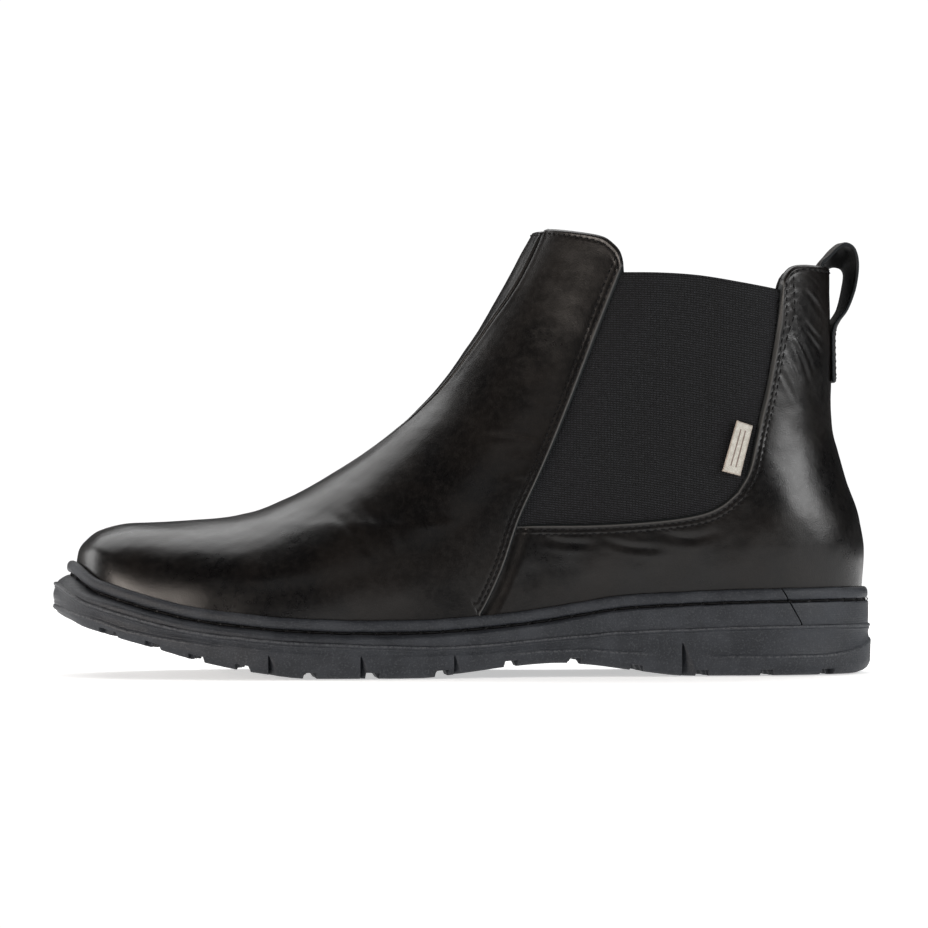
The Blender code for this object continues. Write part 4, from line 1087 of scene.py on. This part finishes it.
def tread_depth(points):
    """How deep the tread pattern is cut at each point of the sole's underside."""
    x, y = points[..., 0], points[..., 1]
    v = (y - middle(x)) / TREAD_HALF_WIDTH
    cut = np.zeros_like(x)
    for centre in GROOVES:
        bend = (5.0 if centre < 45 else -4.0) * (1 - np.minimum(np.abs(v), 1) ** 1.5)
        away = np.abs(x - centre - bend)
        cut = np.maximum(cut, 1 - ease(away, GROOVE_HALF - 0.45, GROOVE_HALF))
    for centre in (0.42, -0.42):
        lane = 1 - ease(np.abs(v - centre + 0.05 * np.sin(x / 9)), 0.05, 0.05 + 0.02)
        shown = 1 - ease(x, -6, 0) * (1 - ease(x, 60, 66))
        cut = np.maximum(cut, 0.8 * lane * shown)
    arch = ease(x, 0, 4) * (1 - ease(x, 56, 60))
    ribs = 1 - ease(np.abs((v * TREAD_HALF_WIDTH) % 6.0 - 3.0), 0.7, 1.1)
    ribs = ribs * (1 - ease(np.abs(v), 0.6, 0.66))
    return GROOVE_DEPTH * np.maximum(cut, 0.45 * arch * ribs)


def build_outsole(finish):
    ring = Ring(outsole_stations())
    x = ring.x
    width, lift = welt_width(x), toe_lift(x)
    top = ring.point[:, 2] + lift + welt_bottom(x) - 0.05
    strength = second_strength(x)
    tread = tread_line(ring.at(width - 3.6, 0)[:, 0])
    second = np.minimum(second_ridge(x), top - 3.6)
    low = np.minimum(tread + 3.0, second - 1.3)
    inset = width - band_inset(x)
    rows = [
        (CUP_WALL + 0 * x, tread + FLOOR_THICKNESS),
        (CUP_WALL + 0 * x, top),
        (np.minimum(inset - 0.4, width - 1.5), top),
        (width - 0.75, top + 0.02), (width - 0.42, top - 0.12), (width - 0.24, top - 0.42),
        (width - 0.24, top - 0.8), (width - 0.42, top - 1.1), (width - 0.64, top - 1.35),
        (width - 0.52, top - 1.65), (width - 0.66, top - 2.0),
    ]  # fmt: skip
    upper, under = top - 2.0, second + 0.9
    for n, share in enumerate(np.linspace(0.08, 1.0, 12)):
        hollow = 0.72 + 0.22 * math.sin(math.pi * share) + (0.05 if n % 2 else -0.02)
        bulge = 0.35 * lift * math.sin(math.pi * min(share, 0.85))
        rows.append((width - hollow + bulge, upper + (under - upper) * share))
    rows += [
        (width - 0.72 + 0.14 * strength, second + 0.45),
        (width - 0.72 + 0.55 * strength, second + 0.12),
        (width - 0.7 + 0.72 * strength, second - 0.3),
        (width - 0.7 + 0.75 * strength, second - 0.8),
    ]
    last = second - 0.8
    for share in (0.25, 0.5, 0.75, 1.0):
        rows.append((width - 0.72 + 0.7 * strength * (1 - 0.3 * share), last + (low - last) * share))
    for out, share in ((0.85, 0.78), (1.05, 0.5), (1.4, 0.27), (1.9, 0.11), (2.6, 0.03), (3.6, 0.0)):
        keep = 0.45 * strength * share
        rows.append((width - out * (1 + 0.3 * lift) + keep, tread + (low - tread) * share))
    outs = np.stack([o for o, _ in rows], axis=1)
    heights = np.stack([z for _, z in rows], axis=1)
    inside = np.any([np.abs(x - c) < GROOVE_HALF + 0.01 for c in GROOVES], axis=0)
    floor = (tread + GROOVE_DEPTH)[:, None]
    side_rows = np.arange(heights.shape[1]) > 10
    lifted = np.where(inside[:, None] & side_rows, np.maximum(heights, floor), heights)
    for left, right, apex in SLOTS:
        share = np.clip((apex - heights) / (apex - 2.5), 0, 1)
        edge = left + (right - left) * share
        t = np.clip((x[:, None] - left) / np.maximum(edge - left, 1e-6), 0, 1)
        within = (x[:, None] > left) & (x[:, None] < edge) & (share > 0) & side_rows
        outs = outs - np.where(within, 2.6 * (1 - t) * ease(share, 0, 0.25), 0)
    grid = ring.rows(outs.T, lifted.T)
    grain = 0.03 * waves(grid, 3.0, 41) + 0.05 * waves(grid, 15, 42)
    grid[:, 2:-1, 2] += grain[:, 2:-1]
    # lighter speckles on the rim's top shoulder and its ridges: partly wear, partly painted highlight
    worn = np.zeros(grid.shape[:2])
    worn[:, 4:7] = (0.5, 0.9, 0.4)
    worn[:, 9] = 0.2
    worn[:, 24], worn[:, 25] = 0.5 * strength, 0.9 * strength
    faces = grid_faces(len(x), grid.shape[1], wrap=True)
    points = [grid.reshape(-1, 3)]
    total = worn.size
    marks = [worn.reshape(-1)]

    def fill(row, across, level):
        """Closes the ring of one row with strips from the lateral to the medial side."""
        nonlocal total, faces
        lateral, medial = ring.sides(grid[:, row])
        share = np.linspace(0, 1, across)[1:-1, None, None]
        inner = level(lateral[None] + share * (medial - lateral)[None])
        index = total + np.arange(inner[..., 0].size).reshape(len(share), -1).T
        left, right = ring.sides(np.arange(len(x))[:, None] * grid.shape[1] + row)
        index = np.hstack([left, index, right])
        quads = np.stack([index[:-1, :-1], index[:-1, 1:], index[1:, 1:], index[1:, :-1]], axis=-1)
        faces = np.vstack([faces, quads.reshape(-1, 4)])
        points.append(inner.reshape(-1, 3))
        marks.append(np.zeros(len(points[-1])))
        total += len(points[-1])

    def tread_level(inner):
        inner[..., 2] = tread_line(inner[..., 0]) + tread_depth(inner)
        return inner

    fill(grid.shape[1] - 1, 90, tread_level)
    fill(0, 12, lambda inner: inner)
    clean = [list(dict.fromkeys(face)) for face in faces.tolist()]
    clean = [face for face in clean if len(face) > 2]
    sole = to_object(
        "outsole_rubber", np.vstack(points), clean, finish, "sole_rubber",
        attributes={"worn": np.concatenate(marks), "groove": np.zeros(total)}, sharp=38,
    )  # fmt: skip
    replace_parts(sole, "outsole")


# ---------------------------------------------------------------- materials


class Look:
    """A node material being put together. Lengths in it are millimetres."""

    def __init__(self, name, roughness=0.5, metallic=0.0, **sockets):
        self.material = bpy.data.materials.new(name)
        self.material.use_nodes = True
        self.tree = self.material.node_tree
        self.shader = self.tree.nodes["Principled BSDF"]
        sockets.update(Roughness=roughness, Metallic=metallic)
        for label, value in sockets.items():
            self.shader.inputs[label.replace("_", " ")].default_value = value
        self.surface = None
        place = self.node("ShaderNodeTexCoord").outputs["Object"]
        self.place = self.vector("SCALE", place, scale=1000.0)

    def node(self, kind, **settings):
        made = self.tree.nodes.new(kind)
        for label, value in settings.items():
            setattr(made, label, value)
        return made

    def put(self, socket, value):
        if isinstance(value, bpy.types.NodeSocket):
            self.tree.links.new(value, socket)
        elif value is not None:
            socket.default_value = value

    def vector(self, operation, a, b=None, scale=None):
        made = self.node("ShaderNodeVectorMath", operation=operation)
        self.put(made.inputs[0], a)
        self.put(made.inputs[1], b)
        if scale is not None:
            made.inputs["Scale"].default_value = scale
        return made.outputs[0]

    def math(self, operation, *values):
        made = self.node("ShaderNodeMath", operation=operation)
        for socket, value in zip(made.inputs, values):
            self.put(socket, value)
        return made.outputs[0]

    def times(self, a, b):
        return self.math("MULTIPLY", a, b)

    def plus(self, a, b):
        return self.math("ADD", a, b)

    def axes(self):
        split = self.node("ShaderNodeSeparateXYZ")
        self.put(split.inputs[0], self.place)
        return split.outputs

    def noise(self, length, detail=3.0, rough=0.55, stretch=None):
        place = self.place if stretch is None else self.vector("MULTIPLY", self.place, stretch)
        made = self.node("ShaderNodeTexNoise")
        self.put(made.inputs["Vector"], place)
        made.inputs["Scale"].default_value = 1.0 / length
        made.inputs["Detail"].default_value = detail
        made.inputs["Roughness"].default_value = rough
        return made.outputs["Fac"]

    def cells(self, length):
        made = self.node("ShaderNodeTexVoronoi", feature="DISTANCE_TO_EDGE")
        self.put(made.inputs["Vector"], self.place)
        made.inputs["Scale"].default_value = 1.0 / length
        return made.outputs["Distance"]

    def attribute(self, name):
        return self.node("ShaderNodeAttribute", attribute_name=name).outputs["Fac"]

    def band(self, source, low, high, start=0.0, end=1.0):
        """source from low..high smoothly to start..end."""
        made = self.node("ShaderNodeMapRange", interpolation_type="SMOOTHSTEP")
        for socket, value in zip(made.inputs, (source, low, high, start, end)):
            self.put(socket, value)
        return made.outputs[0]

    def mix(self, share, a, b):
        made = self.node("ShaderNodeMix", data_type="RGBA")
        colour = [s for s in made.inputs if s.type == "RGBA"]
        self.put(made.inputs[0], share)
        for socket, value in zip(colour, (a, b)):
            self.put(socket, (*value, 1.0) if isinstance(value, tuple) else value)
        return [s for s in made.outputs if s.type == "RGBA"][0]

    def bump(self, height, distance, strength=1.0):
        """Adds relief of that depth in millimetres."""
        made = self.node("ShaderNodeBump")
        made.inputs["Strength"].default_value = strength
        made.inputs["Distance"].default_value = distance * MM
        self.put(made.inputs["Height"], height)
        if self.surface is not None:
            self.put(made.inputs["Normal"], self.surface)
        self.surface = made.outputs["Normal"]

    def done(self, colour, roughness=None):
        self.put(self.shader.inputs["Base Color"], colour)
        self.put(self.shader.inputs["Roughness"], roughness)
        if self.surface is not None:
            self.put(self.shader.inputs["Normal"], self.surface)
        return self.material


def leather_look():
    look = Look("black_leather_smooth", Specular_IOR_Level=0.3, Coat_Weight=0.06, Coat_Roughness=0.18)
    cloud, fine = look.noise(26, 4), look.noise(2.2, 3)
    colour = look.mix(look.band(cloud, 0.35, 0.7), (0.0018, 0.0016, 0.0017), (0.0058, 0.0045, 0.0038))
    colour = look.mix(look.band(fine, 0.4, 0.75, 0, 0.3), colour, (0.011, 0.0095, 0.0085))
    colour = look.mix(look.attribute("cut"), colour, (0.0042, 0.006, 0.0066))
    # painted highlight along the crest of each cut edge
    colour = look.mix(look.times(look.attribute("crest_highlight"), 0.8), colour, (0.1, 0.097, 0.094))
    # painted shade at the bottom of the seam grooves
    colour = look.mix(look.attribute("dark"), colour, (0.002, 0.002, 0.002))
    pores, wrinkle = look.cells(0.85), look.noise(1.6, 4, 0.6)
    look.bump(look.band(pores, 0.0, 0.3), 0.014, 0.8)
    look.bump(wrinkle, 0.035, 0.6)
    look.bump(look.noise(7, 2, 0.5), 0.12, 0.5)
    rough = look.plus(look.band(cloud, 0.3, 0.75, 0.26, 0.34), look.band(fine, 0.3, 0.8, 0, 0.06))
    rough = look.plus(rough, look.times(look.attribute("cut"), 0.25))
    return look.done(colour, rough)


def elastic_look():
    look = Look("woven_elastic", Specular_IOR_Level=0.2, Sheen_Weight=0.04, Sheen_Roughness=0.5)
    u = look.math("DIVIDE", look.attribute("weave_u"), 1.13)
    v = look.math("DIVIDE", look.attribute("weave_v"), 0.85)
    warp = look.times(look.math("SUBTRACT", look.noise(3.5, 2), 0.5), 0.35)
    u, v = look.plus(u, warp), look.plus(v, warp)
    across = look.math("ABSOLUTE", look.math("SUBTRACT", look.math("FRACT", u), 0.5))
    up = look.math("ABSOLUTE", look.math("SUBTRACT", look.math("FRACT", v), 0.5))
    thread = look.times(look.band(across, 0.46, 0.3), look.band(up, 0.4, 0.14))
    shade = look.noise(1.1, 2)
    bright = look.mix(look.band(shade, 0.3, 0.7), (0.007, 0.0074, 0.009), (0.0165, 0.0175, 0.0205))
    colour = look.mix(thread, (0.0006, 0.0007, 0.001), bright)
    look.bump(thread, 0.22, 1.0)
    look.bump(look.noise(0.5, 2), 0.05, 0.6)
    return look.done(colour, 0.72)


def rubber_look():
    look = Look("moulded_rubber", Specular_IOR_Level=0.3)
    cloud, speck = look.noise(11, 4), look.noise(0.7, 3, 0.7)
    colour = look.mix(look.band(cloud, 0.35, 0.7), (0.0155, 0.0175, 0.0215), (0.027, 0.03, 0.036))
    colour = look.mix(look.band(speck, 0.5, 0.68, 0, 0.6), colour, (0.052, 0.055, 0.061))
    # lighter speckles along the ridges: partly wear, partly painted highlight
    ridge_wear_and_highlight = look.times(look.attribute("worn"), look.band(look.noise(0.9, 3, 0.7), 0.4, 0.6))
    colour = look.mix(ridge_wear_and_highlight, colour, (0.075, 0.078, 0.084))
    # painted shade in the welt's stitch groove
    colour = look.mix(look.attribute("groove"), colour, (0.003, 0.003, 0.004))
    level = look.plus(look.axes()[2], look.times(look.noise(20, 2), 1.5))
    line = look.math("PINGPONG", level, 0.42)
    look.bump(look.band(line, 0.0, 0.2), 0.05, 0.5)
    look.bump(look.noise(0.6, 4, 0.65), 0.13, 0.9)
    look.bump(look.noise(4.5, 3), 0.2, 0.7)
    return look.done(colour, look.band(cloud, 0.3, 0.7, 0.46, 0.6))


def strap_look():
    look = Look("strap_leather", Specular_IOR_Level=0.25)
    face = look.attribute("face")
    fine = look.noise(1.3, 4, 0.65)
    # the outer face is lighter and the inner face far darker: partly the strap's own two finishes, partly
    # painted highlight on the outer face and painted shade on the inner one
    outer = look.mix(look.band(fine, 0.35, 0.7), (0.014, 0.0125, 0.012), (0.03, 0.027, 0.025))
    inner = look.mix(look.band(fine, 0.4, 0.7), (0.0012, 0.0014, 0.0018), (0.004, 0.0042, 0.0046))
    colour = look.mix(look.band(face, -0.4, 0.5), inner, outer)
    sides = look.mix(look.band(fine, 0.4, 0.7), (0.006, 0.008, 0.01), (0.015, 0.018, 0.02))
    flat = look.band(look.math("ABSOLUTE", face), 0.9, 0.5)
    colour = look.mix(look.times(look.attribute("edge"), flat), colour, sides)
    look.bump(fine, 0.09, 0.8)
    look.bump(look.cells(0.9), 0.06, 0.6)
    return look.done(colour, look.band(fine, 0.3, 0.7, 0.5, 0.68))


def textile_look(name, dark, light, pitch, depth, roughness=0.85):
    """A plain weave that follows the object's own axes."""
    look = Look(name, roughness, Specular_IOR_Level=0.15, Sheen_Weight=0.04, Sheen_Roughness=0.6)
    x, y, z = look.axes()
    x = look.times(x, 2 * math.pi / pitch)
    z = look.times(look.plus(z, look.times(y, 0.35)), 2 * math.pi / pitch)
    weave = look.times(look.math("SINE", x), look.math("SINE", z))
    shade = look.plus(look.times(weave, 0.25), look.noise(6, 4))
    look.bump(weave, depth, 0.9)
    look.bump(look.noise(0.7, 3), depth, 0.6)
    return look.done(look.mix(look.band(shade, 0.3, 0.75), dark, light))


def label_look():
    look = Look("label_canvas", 0.9, Specular_IOR_Level=0.2, Sheen_Weight=0.2)
    s, t = look.attribute("label_s"), look.attribute("label_t")
    weft = look.math("SINE", look.times(t, 2 * math.pi * LABEL_LENGTH / 0.7))
    warp = look.math("SINE", look.times(s, 2 * math.pi * LABEL_WIDTH / 0.6))
    weave = look.times(weft, warp)
    tone = look.band(look.noise(1.6, 4, 0.7), 0.35, 0.7)
    colour = look.mix(tone, (0.5, 0.48, 0.43), (0.64, 0.625, 0.575))
    colour = look.mix(look.band(weave, -0.2, -0.9, 0, 0.4), colour, (0.2, 0.17, 0.13))
    stripe = None
    for place in (0.36, 0.64):
        line = look.band(look.math("ABSOLUTE", look.math("SUBTRACT", s, place)), 0.05, 0.025)
        stripe = line if stripe is None else look.math("MAXIMUM", stripe, line)
    ends = look.band(look.math("ABSOLUTE", look.math("SUBTRACT", t, 0.5)), 0.37, 0.35)
    stripe = look.times(stripe, ends)
    colour = look.mix(look.times(stripe, 0.75), colour, (0.1, 0.045, 0.03))
    colour = look.mix(look.times(look.attribute("edge"), 0.6), colour, (0.2, 0.12, 0.075))
    look.bump(weave, 0.09, 1.0)
    return look.done(colour)


def thread_look(name, dark, light):
    look = Look(name, 0.7, Specular_IOR_Level=0.15)
    strand = look.noise(0.3, 2, stretch=(1.0, 1.0, 2.5))
    look.bump(strand, 0.08, 1.0)
    return look.done(look.mix(look.band(strand, 0.35, 0.65), dark, light))


def hidden_look(name, dark, light, grain, roughness=0.85, metallic=0.0, depth=0.1):
    """A plain sheet material with grain and clouding, for the pieces inside."""
    look = Look(name, roughness, metallic)
    cloud, fine = look.noise(14, 3), look.noise(grain, 4, 0.65)
    colour = look.mix(look.band(cloud, 0.3, 0.7), dark, light)
    colour = look.mix(look.band(fine, 0.45, 0.75, 0, 0.5), colour, light)
    look.bump(fine, depth, 0.8)
    rough = look.band(fine, 0.2, 0.8, roughness - 0.08, roughness + 0.06)
    return look.done(colour, rough)


def floor_look():
    look = Look("pale_floor", 0.9, Specular_IOR_Level=0.1, Emission_Color=[1] * 4, Emission_Strength=0.5)
    speckle = look.band(look.noise(90, 3), 0.3, 0.7)
    return look.done(look.mix(speckle, (0.93, 0.93, 0.93), (0.95, 0.95, 0.95)))


# ---------------------------------------------------------------- soft pieces inside


def build_footbed(finish):
    ring = Ring(stations(120))
    lateral, medial = ring.sides(ring.at(-FOOTBED_INSET, featherline(ring.x)))
    share = np.linspace(0, 1, 40)
    v = (1 - np.cos(math.pi * share)) / 2
    grid = lateral[:, None] + v[None, :, None] * (medial - lateral)[:, None]
    base = featherline(np.clip(grid[..., 0], -128, 140))
    gap = np.min([np.linalg.norm(grid - rim[:, None], axis=-1) for rim in (lateral, medial)], axis=0)
    round_off = np.clip(1 - gap / 3.0, 0, 1) ** 2
    cup = 1.2 * ease(np.abs(v - 0.5), 0.25, 0.5)[None] * ease(grid[..., 0], 20, 90)
    dimples = 0.12 * waves(grid, 9, 51)
    outer, inner = grid.copy(), grid.copy()
    outer[..., 2] = base + 1.2 + cup + dimples - 0.9 * round_off
    inner[..., 2] = base - 0.5
    bed = shell("footbed_padded", outer, inner, finish, "soft_foam")
    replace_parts(bed, "footbed")


def build_collar_foam(side, finish):
    u, z = np.meshgrid(np.linspace(*FOAM_SPAN, 40), np.linspace(*FOAM_HEIGHTS, 60), indexing="ij")
    points, normals = skin(rolled(np.stack([u, z], axis=-1)), side)
    ends = zip((u, z), (FOAM_SPAN, FOAM_HEIGHTS))
    edge = np.min([np.minimum(place - low, high - place) for place, (low, high) in ends], axis=0)
    full = np.sqrt(np.clip(1 - (1 - np.clip(edge / 2.2, 0, 1)) ** 2, 0, 1))
    half = 0.12 + 0.68 * full
    soft = 0.05 * waves(points, 8, 61)
    outer = points - normals * (FOAM_DEPTH - half)[..., None]
    inner = points - normals * (FOAM_DEPTH + half + soft)[..., None]
    foam = shell(f"collar_padding_{side}", outer, inner, finish, "soft_foam")
    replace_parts(foam, f"collar_foam_{side}")


def dress_hidden_nodes():
    board = hidden_look("insole_fibreboard", (0.2, 0.155, 0.115), (0.36, 0.29, 0.22), 0.7)
    sheet = hidden_look("stiffener_sheet", (0.24, 0.22, 0.19), (0.4, 0.38, 0.34), 0.5)
    steel = hidden_look("shank_steel", (0.3, 0.3, 0.31), (0.55, 0.55, 0.57), 1.2, 0.38, 1.0, 0.02)
    cork = hidden_look("filler_foam", (0.03, 0.03, 0.033), (0.08, 0.08, 0.085), 0.9, depth=0.3)
    looks = {
        "insole_board": board, "toe_puff": sheet, "heel_counter": sheet, "shank": steel,
        "bottom_filler": cork, "midsole_core": cork,
    }  # fmt: skip
    for name, look in looks.items():
        for mesh_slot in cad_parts[name].material_slots:
            mesh_slot.link = "OBJECT"
            mesh_slot.material = look


# ---------------------------------------------------------------- camera, floor and light

CAMERA_PLACE = (-0.1886, -1.7902, 0.0772)
CAMERA_WAY = (0.10453, 0.99452, 0.0)
CAMERA_LENS = 188.7


def set_camera():
    camera = place_object("camera", bpy.data.cameras.new("camera"))
    camera.data.lens = CAMERA_LENS
    camera.data.sensor_width = 36.0
    camera.location = CAMERA_PLACE
    camera.rotation_euler = Vector(CAMERA_WAY).to_track_quat("-Z", "Y").to_euler()
    bpy.context.scene.camera = camera


def add_light(name, place, size, power, aim=(0.0, 0.0, 0.06), colour=(1.0, 1.0, 1.0)):
    light = bpy.data.lights.new(name, "AREA")
    light.shape = "RECTANGLE"
    light.size, light.size_y = size
    light.energy = power
    light.color = colour
    holder = place_object(name, light)
    holder.location = place
    way = Vector(aim) - Vector(place)
    holder.rotation_euler = way.to_track_quat("-Z", "Y").to_euler()


def set_stage():
    mesh = bpy.data.meshes.new("floor")
    corners = [(0.85 * x, 0.85 * y, 0) for x, y in ((-1, -1), (1, -1), (1, 1), (-1, 1))]
    mesh.from_pydata(corners, [], [(0, 1, 2, 3)])
    mesh.materials.append(floor_look())
    floor = place_object("floor", mesh)
    floor.location.z = cad_box[0][2] - 0.0003

    world = bpy.data.worlds.new("studio")
    world.use_nodes = True
    tree = world.node_tree
    backdrop, room = tree.nodes["Background"], tree.nodes.new("ShaderNodeBackground")
    for node, colour, strength in ((backdrop, (1, 1, 1, 1), 1.05), (room, (0.95, 0.97, 1, 1), 0.03)):
        node.inputs["Color"].default_value, node.inputs["Strength"].default_value = colour, strength
    seen = tree.nodes.new("ShaderNodeLightPath").outputs["Is Camera Ray"]
    blend = tree.nodes.new("ShaderNodeMixShader")
    tree.links.new(seen, blend.inputs[0])
    tree.links.new(room.outputs[0], blend.inputs[1])
    tree.links.new(backdrop.outputs[0], blend.inputs[2])
    tree.links.new(blend.outputs[0], tree.nodes["World Output"].inputs["Surface"])
    bpy.context.scene.world = world
    bpy.context.scene.view_settings.view_transform = "Standard"

    add_light("overhead", (0.0, 0.9, 1.35), (2.6, 1.2), 28, (0.0, -0.1, 0.0))
    add_light("left_window", (-1.4, -0.85, 0.3), (1.1, 0.42), 21, colour=(1.0, 0.9, 0.82))
    add_light("left_rim", (-1.35, 0.8, 0.5), (0.6, 0.7), 7)
    add_light("right_window", (1.35, -0.8, 0.6), (0.9, 0.65), 17)
    add_light("front_fill", (-0.3, -1.9, 1.3), (1.2, 0.8), 1.5)


# ---------------------------------------------------------------- the boot


def main():
    set_camera()
    set_stage()
    leather, rubber = leather_look(), rubber_look()
    lining = textile_look("lining_textile", (0.011, 0.011, 0.012), (0.03, 0.03, 0.032), 0.8, 0.12)
    foam = hidden_look("soft_foam", (0.03, 0.03, 0.033), (0.07, 0.07, 0.075), 0.6, depth=0.2)
    thread = thread_look("black_thread", (0.0012, 0.0012, 0.0014), (0.006, 0.006, 0.0066))
    stitches = Stitches()
    build_vamp(leather, stitches)
    for side in SIDES:
        build_quarter(side, leather, stitches)
        build_collar_foam(side, foam)
    elastic = elastic_look()
    for side in SIDES:
        build_gusset(side, elastic)
    build_linings(lining)
    build_strap(strap_look(), stitches)
    build_label(label_look())
    sewn = [f"{seam}_seam_thread_{side}" for seam in ("vamp", "gusset") for side in SIDES]
    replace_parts(stitches.finish("seam_stitching", thread), *sewn)
    build_welt(rubber, thread)
    build_outsole(rubber)
    build_footbed(textile_look("footbed_textile", (0.016, 0.016, 0.018), (0.045, 0.045, 0.05), 1.1, 0.15))
    dress_hidden_nodes()


main()
